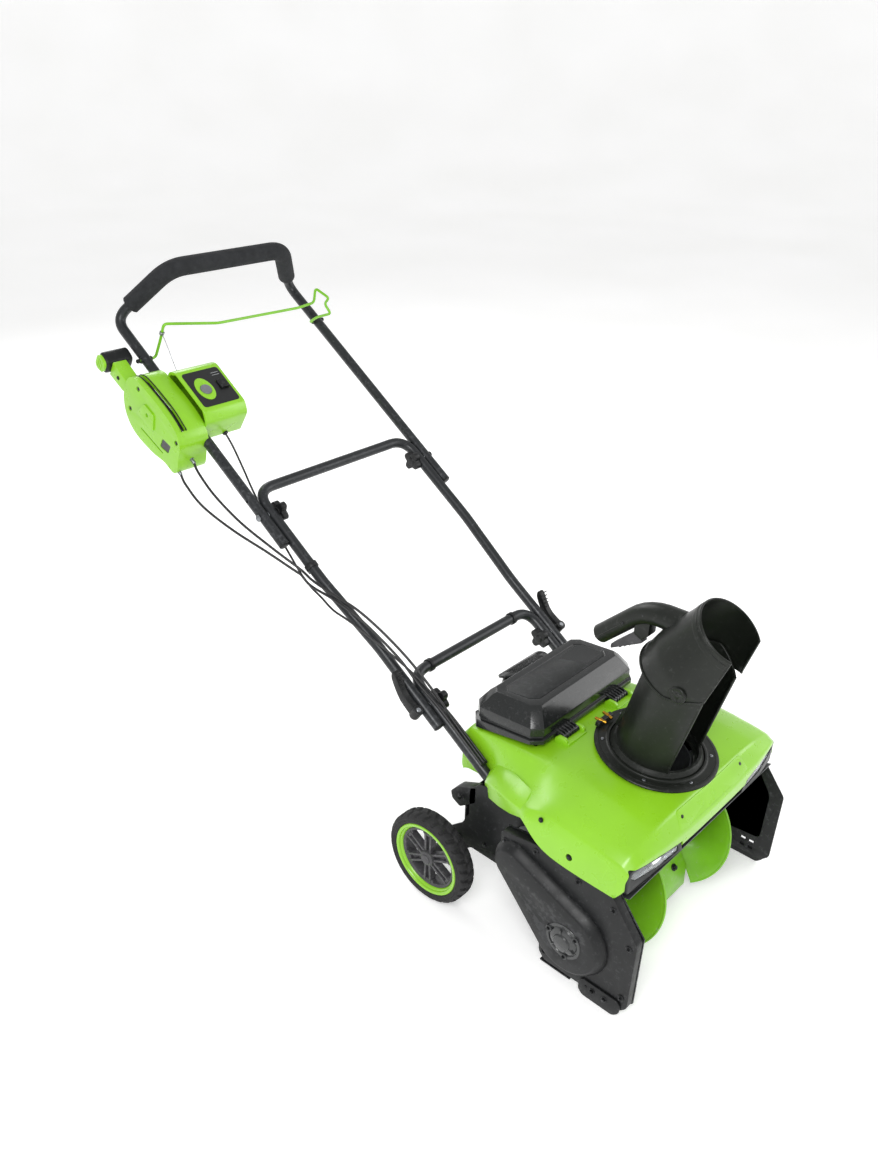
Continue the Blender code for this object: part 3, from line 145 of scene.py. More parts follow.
def begin(name):
    """A new material with its shader and the object's own coordinates."""
    made = bpy.data.materials.new(name)
    made.use_nodes = True
    tree = made.node_tree
    shader = tree.nodes["Principled BSDF"]
    place = add(tree, "ShaderNodeTexCoord").outputs["Object"]
    return made, tree, shader, place


def surface(name, colour, roughness, **look):
    """A solid finish: cloudy tone, worn edges, uneven gloss and a grain in relief.

    tone_mm and tone are the size and the strength of the clouds, grain_mm and relief_mm the grain's
    size and height, wear and worn the share and the colour that show on the edges."""
    made, tree, shader, place = begin(name)
    clouds = add(tree, "ShaderNodeTexNoise", {"Vector": place, "Scale": per_mm(look.get("tone_mm", 70)),
        "Detail": 4.0})
    tone = look.get("tone", 0.06)
    body = ramp(tree, clouds.outputs["Fac"], [(0.3, shade(colour, 1 - tone)), (0.7, shade(colour, 1 + tone))])
    edges = add(tree, "ShaderNodeNewGeometry").outputs["Pointiness"]
    scuffs = add(tree, "ShaderNodeTexNoise", {"Vector": place, "Scale": per_mm(9), "Detail": 6.0,
        "Roughness": 0.7})
    broken = add(tree, "ShaderNodeMath", {0: edges, 1: scuffs.outputs["Fac"]},
        operation="MULTIPLY").outputs["Value"]
    wear = look.get("wear", 0.25)
    worn = ramp(tree, broken, [(0.29, (0, 0, 0, 1)), (0.36, (wear, wear, wear, 1))])
    rubbed = linear(look["worn"]) if "worn" in look else shade(colour, 1.5)
    mixed = add(tree, "ShaderNodeMixRGB", {"Fac": worn, "Color1": body, "Color2": rubbed})
    colour_out = mixed.outputs["Color"]
    tree.links.new(colour_out, shader.inputs["Base Color"])
    smear = add(tree, "ShaderNodeTexNoise", {"Vector": place, "Scale": per_mm(look.get("smear_mm", 24)),
        "Detail": 5.0})
    spread = look.get("spread", 0.06)
    gloss = add(
        tree,
        "ShaderNodeMapRange",
        {"Value": smear.outputs["Fac"], "From Min": 0.3, "From Max": 0.7}
        | {"To Min": roughness - spread, "To Max": roughness + spread},
    )
    tree.links.new(gloss.outputs["Result"], shader.inputs["Roughness"])
    kind = "ShaderNodeTexVoronoi" if look.get("cells") else "ShaderNodeTexNoise"
    grain = add(tree, kind, {"Vector": place, "Scale": per_mm(look.get("grain_mm", 0.8))})
    height = grain.outputs["Distance" if look.get("cells") else "Fac"]
    relief = add(tree, "ShaderNodeBump", {"Height": height, "Strength": look.get("strength", 0.3),
        "Distance": look.get("relief_mm", 0.05) / 1000})
    tree.links.new(relief.outputs["Normal"], shader.inputs["Normal"])
    shader.inputs["Metallic"].default_value = look.get("metallic", 0.0)
    shader.inputs["IOR"].default_value = look.get("ior", 1.5)
    shader.inputs["Specular IOR Level"].default_value = look.get("glint", 0.5)
    if look.get("coat"):
        shader.inputs["Coat Weight"].default_value = look["coat"]
        shader.inputs["Coat Roughness"].default_value = look.get("coat_roughness", 0.15)
    return made


def clear_polycarbonate(name):
    """The headlights' cover: clear, moulded and polished, with faint scratches that catch the light."""
    made, tree, shader, place = begin(name)
    scratches = add(tree, "ShaderNodeTexNoise", {"Vector": place, "Scale": per_mm(3), "Detail": 8.0})
    gloss = add(tree, "ShaderNodeMapRange", {"Value": scratches.outputs["Fac"], "From Min": 0.35,
        "From Max": 0.75, "To Min": 0.04, "To Max": 0.2})
    tree.links.new(gloss.outputs["Result"], shader.inputs["Roughness"])
    shader.inputs["Base Color"].default_value = linear("e6ebee")
    shader.inputs["Transmission Weight"].default_value = 0.9
    shader.inputs["IOR"].default_value = 1.585
    return made


def turned_steel(name, colour, roughness, axis):
    """Bright steel from a lathe or a die: fine rings or lines across it, and bare metal's own reflection."""
    made, tree, shader, place = begin(name)
    squeeze = add(tree, "ShaderNodeMapping", {"Vector": place, "Scale": axis})
    lines = add(tree, "ShaderNodeTexNoise", {"Vector": squeeze.outputs["Vector"], "Scale": per_mm(1.2),
        "Detail": 3.0})
    body = ramp(tree, lines.outputs["Fac"], [(0.3, shade(colour, 0.8)), (0.7, shade(colour, 1.1))])
    tree.links.new(body, shader.inputs["Base Color"])
    gloss = add(tree, "ShaderNodeMapRange", {"Value": lines.outputs["Fac"], "To Min": roughness - 0.08,
        "To Max": roughness + 0.1})
    tree.links.new(gloss.outputs["Result"], shader.inputs["Roughness"])
    relief = add(tree, "ShaderNodeBump", {"Height": lines.outputs["Fac"], "Strength": 0.2,
        "Distance": 0.00003})
    tree.links.new(relief.outputs["Normal"], shader.inputs["Normal"])
    shader.inputs["Metallic"].default_value = 1.0
    return made


def make_finishes(looks):
    """Makes every finish that the pieces ask for by name."""
    # Glossy moulded ABS: bright, slightly cloudy in the light, with paler rubbed edges.
    surface("green_abs", looks.green, 0.3, tone=0.05, tone_mm=120, wear=0.12, spread=0.05, grain_mm=1.6,
        relief_mm=0.03, strength=0.2, coat=0.25, coat_roughness=0.2, ior=1.54)
    # Powder coat on steel: an orange-peel skin with chips along the cut edges.
    surface("green_powder_coat", looks.auger_green, 0.36, tone=0.08, tone_mm=50, wear=0.35, worn="9aa083",
        grain_mm=2.2, relief_mm=0.12, strength=0.4, spread=0.08)
    surface("black_powder_coat", looks.steel_black, 0.38, glint=0.3, tone=0.16, tone_mm=40, wear=0.45,
        worn="55575a", grain_mm=1.8, relief_mm=0.1, strength=0.5, spread=0.08)
    # The handle's satin coat: smoother, a little grey, and rubbed where hands slide along it.
    surface("tube_coat", looks.tube_grey, 0.34, glint=0.4, tone=0.12, tone_mm=30, wear=0.3, worn="6a6c70",
        grain_mm=1.2, relief_mm=0.05, strength=0.4, metallic=0.25, spread=0.07)
    # Textured ABS: an even spark-eroded grain that takes the shine off. Drawn at 1 mm so that it shows.
    surface("textured_abs", looks.plastic_black, 0.42, glint=0.3, tone=0.12, wear=0.35, worn="4c4d4f",
        grain_mm=1.0, relief_mm=0.09, strength=0.45, spread=0.06)
    # The lid's glossier moulding, with long soft reflections.
    surface("gloss_abs", looks.lid_black, 0.22, glint=0.35, tone=0.1, wear=0.25, worn="5a5b5c",
        grain_mm=1.4, relief_mm=0.03, strength=0.3, coat=0.3, coat_roughness=0.12, spread=0.05)
    # The lid's grained panel: rough leather-like relief.
    surface("grained_abs", looks.lid_black, 0.4, glint=0.35, tone=0.14, grain_mm=1.5, relief_mm=0.35,
        strength=0.8, cells=True, wear=0.2, worn="606163")
    # Chute plastic: polyethylene-like sheen, slightly green in the shade of the hood.
    surface("chute_plastic", looks.chute_black, 0.36, glint=0.3, tone=0.12, wear=0.3, worn="4a4c4a",
        grain_mm=1.3, relief_mm=0.06, strength=0.4, spread=0.06)
    # Glass-filled nylon hubs: greyer, with a chalky skin.
    surface("grey_nylon", looks.hub_grey, 0.52, tone=0.14, tone_mm=18, wear=0.4, worn="77757a",
        grain_mm=1.1, relief_mm=0.08, strength=0.5)
    surface("button_plastic", linear("6c6e72"), 0.45, tone=0.05, grain_mm=0.8, relief_mm=0.03, wear=0.3,
        worn="9a9ca0")
    # Vulcanised tyre rubber: matte, dusty in the hollows.
    surface("tyre_rubber", linear("1d1d1e"), 0.82, tone=0.25, tone_mm=12, wear=0.4, worn="454443",
        grain_mm=1.5, relief_mm=0.18, strength=0.6, spread=0.08, ior=1.52)
    # Extruded cable sheath: smooth black PVC.
    surface("cable_sheath", linear("1a1a1b"), 0.42, tone=0.15, tone_mm=15, grain_mm=1.0, relief_mm=0.03,
        wear=0.2)
    # Closed-cell foam: tiny open pores, no shine at all. The pores are drawn at 1.2 mm so that they show.
    surface("cell_foam", looks.foam_black, 0.93, glint=0.25, tone=0.16, tone_mm=14, grain_mm=1.2,
        relief_mm=0.45, strength=0.8, cells=True, wear=0.15, worn="4a4a4c", spread=0.04)
    # Zinc plate on screws: greyed silver, blotchy.
    surface("zinc_plate", linear("8d9094"), 0.34, tone=0.25, tone_mm=4, metallic=1.0, grain_mm=0.6,
        relief_mm=0.04, wear=0.2, worn="c0c2c4")
    # Black-oxide screws: oily dark steel.
    surface("black_oxide", linear("1d1e1f"), 0.36, tone=0.3, tone_mm=4, metallic=0.7, grain_mm=0.6,
        relief_mm=0.05, wear=0.5, worn="6a6b6d")
    surface("brass", linear("b98a2f"), 0.28, tone=0.12, tone_mm=5, metallic=1.0, grain_mm=0.5,
        relief_mm=0.02, wear=0.2)
    # The lamp's vacuum-metallised bowl.
    surface("mirror_bowl", linear("b8bcc2"), 0.14, tone=0.08, tone_mm=10, metallic=1.0, grain_mm=0.8,
        relief_mm=0.02, wear=0.0)
    # Matte printed film on the switch panel.
    surface("panel_film", linear("161718"), 0.34, tone=0.08, tone_mm=30, grain_mm=0.7, relief_mm=0.03,
        wear=0.1)
    surface("pale_print", linear("9a9c9e"), 0.4, tone=0.05, grain_mm=0.7, relief_mm=0.02, wear=0.1)
    turned_steel("drawn_steel", linear("b5b7ba"), 0.28, (0.05, 1, 1))
    turned_steel("motor_steel", linear("6d6f72"), 0.36, (1, 0.15, 0.15))
    clear_polycarbonate("clear_cover")


# ---------------------------------------------------------------- shaping


def prism(outline, low, high, axis="X"):
    """An outline pushed from low to high along an axis. Its points are the other two coordinates."""
    low, high = min(low, high), max(low, high)
    order = {"X": lambda a, b: (low, a, b), "Y": lambda a, b: (a, low, b), "Z": lambda a,
        b: (a, b, low)}[axis]
    step = {"X": (high - low, 0, 0), "Y": (0, high - low, 0), "Z": (0, 0, high - low)}[axis]
    bm = bmesh.new()
    face = bm.faces.new([bm.verts.new(order(a, b)) for a, b in outline])
    made = bmesh.ops.extrude_face_region(bm, geom=[face], use_keep_orig=True)
    moved = [item for item in made["geom"] if isinstance(item, bmesh.types.BMVert)]
    bmesh.ops.translate(bm, vec=step, verts=moved)
    return outward(bm)


def outward(bm):
    """The same closed mesh with every face looking out."""
    bmesh.ops.recalc_face_normals(bm, faces=bm.faces)
    if bm.calc_volume(signed=True) < 0:
        bmesh.ops.reverse_faces(bm, faces=bm.faces)
    return bm


def block(x, y, z):
    return prism([(y[0], z[0]), (y[1], z[0]), (y[1], z[1]), (y[0], z[1])], x[0], x[1])


def lathe(profile, steps=64, axis="X", centre=(0, 0, 0)):
    """A closed profile of (radius, distance along the axis), turned once round that axis."""
    bm = bmesh.new()
    rings = []
    for radius, along in profile:
        if radius < 1e-6:
            rings.append([bm.verts.new((along, 0, 0))])
            continue
        turns = [math.tau * i / steps for i in range(steps)]
        rings.append([bm.verts.new((along, radius * math.cos(t), radius * math.sin(t))) for t in turns])
    for ring, after in zip(rings, rings[1:] + rings[:1]):
        if len(ring) == 1 and len(after) == 1:
            continue
        for i in range(steps):
            j = (i + 1) % steps
            if len(ring) == 1:
                bm.faces.new((ring[0], after[j], after[i]))
            elif len(after) == 1:
                bm.faces.new((ring[i], ring[j], after[0]))
            else:
                bm.faces.new((ring[i], ring[j], after[j], after[i]))
    outward(bm)
    turn = {"X": Matrix.Identity(4), "Y": Matrix.Rotation(math.radians(90), 4, "Z"),
        "Z": Matrix.Rotation(math.radians(-90), 4, "Y")}[axis]
    return placed(bm, Matrix.Translation(centre) @ turn)


def rod(radius, low, high, axis="X", centre=(0, 0, 0), steps=32, chamfer=0.0):
    """A round bar with its two edges chamfered."""
    low, high = min(low, high), max(low, high)
    profile = [(0, low), (radius - chamfer, low), (radius, low + chamfer)]
    profile += [(radius, high - chamfer), (radius - chamfer, high), (0, high)]
    if chamfer == 0:
        profile = [(0, low), (radius, low), (radius, high), (0, high)]
    return lathe(profile, steps, axis, centre)


def placed(bm, matrix):
    bm.transform(matrix)
    return bm


def gathered(meshes):
    """One mesh holding several others."""
    bm = bmesh.new()
    for part in meshes:
        held = bpy.data.meshes.new("held")
        part.to_mesh(held)
        part.free()
        bm.from_mesh(held)
        bpy.data.meshes.remove(held)
    return bm


def arc(middle, radius, start, end, steps):
    """Points round part of a circle, with the angles in degrees."""
    points = []
    for i in range(steps + 1):
        angle = math.radians(start + (end - start) * i / steps)
        points.append((middle[0] + radius * math.cos(angle), middle[1] + radius * math.sin(angle)))
    return points


def eased(outline, radius, steps=5):
    """A closed outline with every corner rounded off."""
    corners = [Vector(point) for point in outline]
    made = []
    for before, corner, after in zip(corners[-1:] + corners[:-1], corners, corners[1:] + corners[:1]):
        towards, away = before - corner, after - corner
        reach = min(radius, towards.length * 0.45, away.length * 0.45)
        first, last = corner + towards.normalized() * reach, corner + away.normalized() * reach
        for i in range(steps + 1):
            t = i / steps
            made.append(tuple(first * (1 - t) ** 2 + corner * 2 * t * (1 - t) + last * t * t))
    return made


def rounded(points, radius, steps=10):
    """An open path with each corner rounded off. A right angle takes this many steps."""
    corners = [Vector(p) for p in points]
    made = [corners[0]]
    for before, corner, after in zip(corners, corners[1:], corners[2:]):
        towards, away = before - corner, after - corner
        reach = min(radius, towards.length * 0.48, away.length * 0.48)
        first, last = corner + towards.normalized() * reach, corner + away.normalized() * reach
        pieces = max(2, round(steps * (-towards).angle(away) / math.radians(90)))
        for i in range(pieces + 1):
            t = i / pieces
            made.append(first * (1 - t) ** 2 + corner * 2 * t * (1 - t) + last * t * t)
    made.append(corners[-1])
    return made


def smooth_path(points, per_span=10):
    """A Catmull-Rom path through the given points."""
    held = [Vector(p) for p in points]
    ends = [held[0] * 2 - held[1], *held, held[-1] * 2 - held[-2]]
    made = []
    for a, b, c, d in zip(ends, ends[1:], ends[2:], ends[3:]):
        for i in range(per_span):
            t = i / per_span
            bend = (2 * a - 5 * b + 4 * c - d) * t**2 + (3 * b - a - 3 * c + d) * t**3
            made.append((2 * b + (c - a) * t + bend) / 2)
    made.append(held[-1])
    return made


def tube(path, radii, sides=24, matrix=None, bore=0.0):
    """A round bar along a path. radii is one radius or one for each point; bore hollows both ends."""
    points = [Vector(p) for p in path]
    if not isinstance(radii, (list, tuple)):
        radii = [radii] * len(points)
    bm = bmesh.new()
    across = (points[1] - points[0]).orthogonal().normalized()
    rings = []
    for i, point in enumerate(points):
        along = (points[min(i + 1, len(points) - 1)] - points[max(i - 1, 0)]).normalized()
        across = (across - along * across.dot(along)).normalized()
        other = along.cross(across)
        ring = []
        for k in range(sides):
            turn = math.tau * k / sides
            ring.append(bm.verts.new(point + (across * math.cos(turn) + other * math.sin(turn)) * radii[i]))
        rings.append(ring)
    for ring, after in zip(rings, rings[1:]):
        for k in range(sides):
            bm.faces.new((ring[k], ring[(k + 1) % sides], after[(k + 1) % sides], after[k]))
    for ring in (rings[0][::-1], rings[-1]):
        cap = bm.faces.new(ring)
        if bore:
            bmesh.ops.inset_region(bm, faces=[cap], thickness=radii[0] - bore)
            bmesh.ops.translate(bm, verts=cap.verts, vec=-cap.normal * 0.006)
    outward(bm)
    return placed(bm, matrix) if matrix else bm


def shell(outer, inner):
    """A closed wall between two grids of points with the same number of rows and columns."""
    bm = bmesh.new()
    grids = [[[bm.verts.new(point) for point in row] for row in rows] for rows in (outer, inner)]
    for grid in grids:
        for upper, lower in zip(grid, grid[1:]):
            for a, b, c, d in zip(upper, upper[1:], lower[1:], lower):
                bm.faces.new((a, b, c, d))
    rims = []
    for grid in grids:
        right = [row[-1] for row in grid[1:-1]]
        left = [row[0] for row in grid[-2:0:-1]]
        rims.append(grid[0] + right + grid[-1][::-1] + left)
    for i in range(len(rims[0])):
        after = (i + 1) % len(rims[0])
        bm.faces.new((rims[0][i], rims[0][after], rims[1][after], rims[1][i]))
    return outward(bm)


def sheet(rows, thickness):
    """A closed wall whose outer side is a grid of points, thickened against the grid's own normals."""
    grid = [[Vector(point) for point in row] for row in rows]
    inner = []
    for i, row in enumerate(grid):
        made = []
        for j, point in enumerate(row):
            across = row[min(j + 1, len(row) - 1)] - row[max(j - 1, 0)]
            along = grid[min(i + 1, len(grid) - 1)][j] - grid[max(i - 1, 0)][j]
            made.append(point - across.cross(along).normalized() * thickness)
        inner.append(made)
    return shell(grid, inner)


def stacked(rings):
    """A closed body through rings of the same number of points, from the lowest up."""
    bm = bmesh.new()
    loops = [[bm.verts.new(point) for point in ring] for ring in rings]
    for below, above in zip(loops, loops[1:]):
        for i in range(len(below)):
            after = (i + 1) % len(below)
            bm.faces.new((below[i], below[after], above[after], above[i]))
    bm.faces.new(loops[-1])
    bm.faces.new(loops[0][::-1])
    return outward(bm)


def shrunk(outline, share):
    """An outline drawn in towards its own middle."""
    middle = [sum(point[axis] for point in outline) / len(outline) for axis in (0, 1)]
    made = []
    for point in outline:
        made.append(tuple(middle[axis] + (point[axis] - middle[axis]) * share for axis in (0, 1)))
    return made


def facing(place, direction, turn=0.0):
    """The frame of something set on a surface at a place, with its own +Z along the direction."""
    spin = Vector(direction).to_track_quat("Z", "Y").to_matrix().to_4x4()
    return Matrix.Translation(place) @ spin @ Matrix.Rotation(turn, 4, "Z")


def screw(place, direction, radius, kind="cross", turn=0.0):
    """A screw's head: a domed one with a cross slot, or a flanged hexagon."""
    if kind == "hex":
        flange = lathe([(0, 0), (radius, 0), (radius, radius * 0.14), (radius * 0.8, radius * 0.24),
            (0, radius * 0.24)], 20, "Z")
        corners = arc((0, 0), radius * 0.68, 0, 300, 5)
        nut = prism(corners, radius * 0.2, radius * 0.85, "Z")
        bmesh.ops.bevel(nut, geom=nut.edges, offset=radius * 0.06, segments=1, affect="EDGES")
        dimple = rod(radius * 0.34, radius * 0.84, radius * 0.9, "Z", steps=12)
        return placed(gathered([flange, nut, dimple]), facing(place, direction, turn))
    dome = [(0, 0), (radius, 0), (radius, radius * 0.18), (radius * 0.82, radius * 0.46),
        (radius * 0.45, radius * 0.6)]
    dome.append((0, radius * 0.62))
    head = lathe(dome, 20, "Z")
    slots = []
    for angle in (0, math.pi / 2):
        arm = block((-radius * 0.5, radius * 0.5), (-radius * 0.09, radius * 0.09),
            (radius * 0.6, radius * 0.66))
        slots.append(placed(arm, Matrix.Rotation(angle, 4, "Z")))
    return placed(gathered([head, *slots]), facing(place, direction, turn))


# ---------------------------------------------------------------- pieces


def look(name):
    found = bpy.data.materials.get(name)
    if not found:
        raise RuntimeError(f"the finish {name} isn't made yet")
    return found


def piece(name, bm, finish, body, stands_for=(), sharp=35, bevel=0.0, segments=2, cuts=(), joins=(),
        angle=30):
    """A finished piece: its booleans and its softened edges are baked in, and it rides on a body."""
    obj = raw(name, bm)
    helpers = []
    for operation, tools in (("UNION", joins), ("DIFFERENCE", cuts)):
        for number, tool in enumerate(tools):
            helper = raw(f"{name}_{operation.lower()}_{number}", tool)
            helpers.append(helper)
            made = obj.modifiers.new("Shape", "BOOLEAN")
            made.operation = operation
            made.solver = "EXACT"
            made.object = helper
    if bevel:
        made = obj.modifiers.new("Edges", "BEVEL")
        made.width = bevel
        made.segments = segments
        made.limit_method = "ANGLE"
        made.angle_limit = math.radians(angle)
        made.use_clamp_overlap = True
        made.miter_outer = "MITER_ARC"
    if obj.modifiers:
        graph = bpy.context.evaluated_depsgraph_get()
        baked = bpy.data.meshes.new_from_object(obj.evaluated_get(graph))
        obj.modifiers.clear()
        obj.data = baked
    for helper in helpers:
        bpy.data.objects.remove(helper)
    obj.data.name = name
    obj.data.shade_smooth()
    obj.data.set_sharp_from_angle(angle=math.radians(sharp))
    obj.data.materials.clear()
    obj.data.materials.append(look(finish))
    settle(obj, body, stands_for)
    return obj


def raw(name, bm):
    """An object straight from a mesh, shifted into the row's frame."""
    bmesh.ops.translate(bm, vec=SHIFT, verts=bm.verts)
    mesh = bpy.data.meshes.new(name)
    bm.to_mesh(mesh)
    bm.free()
    obj = bpy.data.objects.new(name, mesh)
    bpy.context.scene.collection.objects.link(obj)
    return obj


def settle(obj, body, stands_for=()):
    if body:
        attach(obj, body)
    if stands_for:
        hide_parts(*stands_for)


def keep(node, finish):
    """A CAD node whose shape is already right, in its real finish."""
    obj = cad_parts[node]
    obj.data.materials.clear()
    obj.data.materials.append(look(finish))


# ---------------------------------------------------------------- hood

# The hood's sections from its front lip over the top to the rear edge: the y at its middle, the y
# at its sides, and the heights across half of it.
HOOD_SECTIONS = (
    (-0.43, -0.396, (0.29, 0.289, 0.286, 0.282, 0.276, 0.272, 0.268, 0.264, 0.262)),
    (-0.436, -0.404, (0.3, 0.299, 0.298, 0.296, 0.294, 0.29, 0.284, 0.274, 0.264)),
    (-0.435, -0.402, (0.321, 0.321, 0.322, 0.324, 0.326, 0.324, 0.31, 0.284, 0.263)),
    (-0.411, -0.396, (0.3575, 0.3575, 0.3565, 0.352, 0.345, 0.336, 0.32, 0.29, 0.262)),
    (-0.38, -0.372, (0.361, 0.361, 0.36, 0.357, 0.35, 0.341, 0.326, 0.294, 0.262)),
    (-0.3, -0.3, (0.366, 0.366, 0.366, 0.364, 0.356, 0.346, 0.332, 0.302, 0.262)),
    (-0.24, -0.242, (0.372, 0.372, 0.371, 0.368, 0.358, 0.348, 0.338, 0.314, 0.27)),
    (-0.205, -0.207, (0.374, 0.374, 0.373, 0.368, 0.352, 0.336, 0.328, 0.322, 0.31)),
    (-0.165, -0.165, (0.372, 0.372, 0.371, 0.366, 0.342, 0.322, 0.314, 0.308, 0.298)),
    (-0.1, -0.1, (0.364, 0.364, 0.363, 0.359, 0.334, 0.306, 0.294, 0.286, 0.274)),
    (-0.056, -0.056, (0.358, 0.358, 0.357, 0.354, 0.346, 0.322, 0.3, 0.276, 0.254)),
    (0.01, 0.004, (0.348, 0.348, 0.347, 0.344, 0.338, 0.318, 0.298, 0.272, 0.25)),
    (0.024, 0.014, (0.33, 0.33, 0.329, 0.326, 0.322, 0.308, 0.29, 0.266, 0.246)),
    (0.026, 0.016, (0.262, 0.262, 0.262, 0.262, 0.258, 0.254, 0.25, 0.246, 0.242)),
)
HOOD_ACROSS = (0.0, 0.06, 0.115, 0.165, 0.2, 0.232, 0.252, 0.263, 0.266)
HOOD_REAR_ACROSS = (0.0, 0.06, 0.115, 0.1585, 0.1625, 0.164, 0.1648, 0.1652, 0.1655)
# How far each section has drawn in from the front's width to the rear's.
HOOD_DRAWN_IN = (0, 0, 0, 0, 0, 0, 0, 0, 0.25, 0.6, 1, 1, 1, 1)
# How sharp each line along the hood is, from its middle out, and each line across it, from the front.
HOOD_CREASES_ALONG = {3: 0.35, 5: 0.25, 6: 0.55}
HOOD_CREASES_ACROSS = {1: 0.5, 2: 0.7, 3: 0.7, 7: 0.35, 11: 0.6, 12: 0.5}


def hood_grid():
    rows = []
    for number, (middle_y, edge_y, heights) in enumerate(HOOD_SECTIONS):
        narrowing = HOOD_DRAWN_IN[number]
        half = []
        for column, height in enumerate(heights):
            share = column / (len(heights) - 1)
            x = HOOD_ACROSS[column] * (1 - narrowing) + HOOD_REAR_ACROSS[column] * narrowing
            half.append((x, middle_y + (edge_y - middle_y) * share**2, height))
        rows.append([(-x, y, z) for x, y, z in half[:0:-1]] + half)
    return rows


def hood_skin():
    """The hood's outer face as a creased cage, subdivided twice and given its wall."""
    rows = hood_grid()
    bm = bmesh.new()
    verts = [[bm.verts.new(point) for point in row] for row in rows]
    for upper, lower in zip(verts, verts[1:]):
        for a, b, c, d in zip(upper, upper[1:], lower[1:], lower):
            bm.faces.new((a, b, c, d))
    crease = bm.edges.layers.float.new("crease_edge")
    middle = len(rows[0]) // 2
    for number, row in enumerate(verts):
        for column, vert in enumerate(row):
            for edge in vert.link_edges:
                if number < len(verts) - 1 and edge.other_vert(vert) == verts[number + 1][column]:
                    edge[crease] = HOOD_CREASES_ALONG.get(abs(column - middle), 0.0)
                if column < len(row) - 1 and edge.other_vert(vert) == row[column + 1]:
                    edge[crease] = HOOD_CREASES_ACROSS.get(number, 0.0)
    bmesh.ops.recalc_face_normals(bm, faces=bm.faces)
    if sum(face.normal.z for face in bm.faces) < 0:
        bmesh.ops.reverse_faces(bm, faces=bm.faces)
    mesh = bpy.data.meshes.new("hood_cage")
    bm.to_mesh(mesh)
    bm.free()
    cage = bpy.data.objects.new("hood_cage", mesh)
    bpy.context.scene.collection.objects.link(cage)
    smooth = cage.modifiers.new("Smooth", "SUBSURF")
    smooth.levels = smooth.render_levels = 3
    wall = cage.modifiers.new("Wall", "SOLIDIFY")
    wall.thickness = 0.0028
    wall.offset = -1
    made = bmesh.new()
    made.from_object(cage, bpy.context.evaluated_depsgraph_get())
    bpy.data.objects.remove(cage)
    bpy.data.meshes.remove(mesh)
    return outward(made)


# The headlight's black frame, the opening in it for the lens, and the notch in the hood over both.
HEADLIGHT_FRAME = [(0.103, 0.279), (0.18, 0.272), (0.25, 0.267), (0.2545, 0.296), (0.247, 0.3165),
    (0.18, 0.3128), (0.113, 0.305)]
HEADLIGHT_OPENING = [(0.118, 0.287), (0.18, 0.286), (0.233, 0.29), (0.244, 0.2985), (0.24, 0.309),
    (0.18, 0.3066), (0.122, 0.3)]
HEADLIGHT_NOTCH = [(0.099, 0.25), (0.258, 0.25), (0.256, 0.2965), (0.2482, 0.3182), (0.18, 0.3144),
    (0.112, 0.3064)]


def headlight_bar(side, outline, front, rear, ease=0.004):
    """One of the headlight's outlines as a bar that bends back with the hood's front."""
    turned = [(side * x, z) for x, z in outline]
    return bowed(prism(eased(turned, ease, 4), front, rear, "Y"))


def bowed(bm):
    for vert in bm.verts:
        vert.co.y += 0.0165 * ((abs(vert.co.x) - 0.1) / 0.155) ** 2
    return bm


def hood_ear(side):
    """The raised rib on the hood's shoulder, beside the handle's leg."""
    rows = [[(0.17, -0.07, 0.306), (0.19, -0.068, 0.296), (0.206, -0.07, 0.282), (0.204, -0.072, 0.252)],
        [(0.172, -0.084, 0.318), (0.196, -0.082, 0.308), (0.214, -0.084, 0.292), (0.212, -0.086, 0.256)],
        [(0.184, -0.115, 0.326), (0.208, -0.115, 0.318), (0.229, -0.118, 0.303), (0.227, -0.12, 0.266)],
        [(0.2, -0.15, 0.332), (0.222, -0.152, 0.325), (0.244, -0.156, 0.312), (0.243, -0.16, 0.282)],
        [(0.214, -0.188, 0.336), (0.234, -0.192, 0.33), (0.254, -0.197, 0.318), (0.254, -0.2, 0.3)]]
    return sheet([[(side * x, y, z) for x, y, z in row] for row in rows], 0.012 * -side)


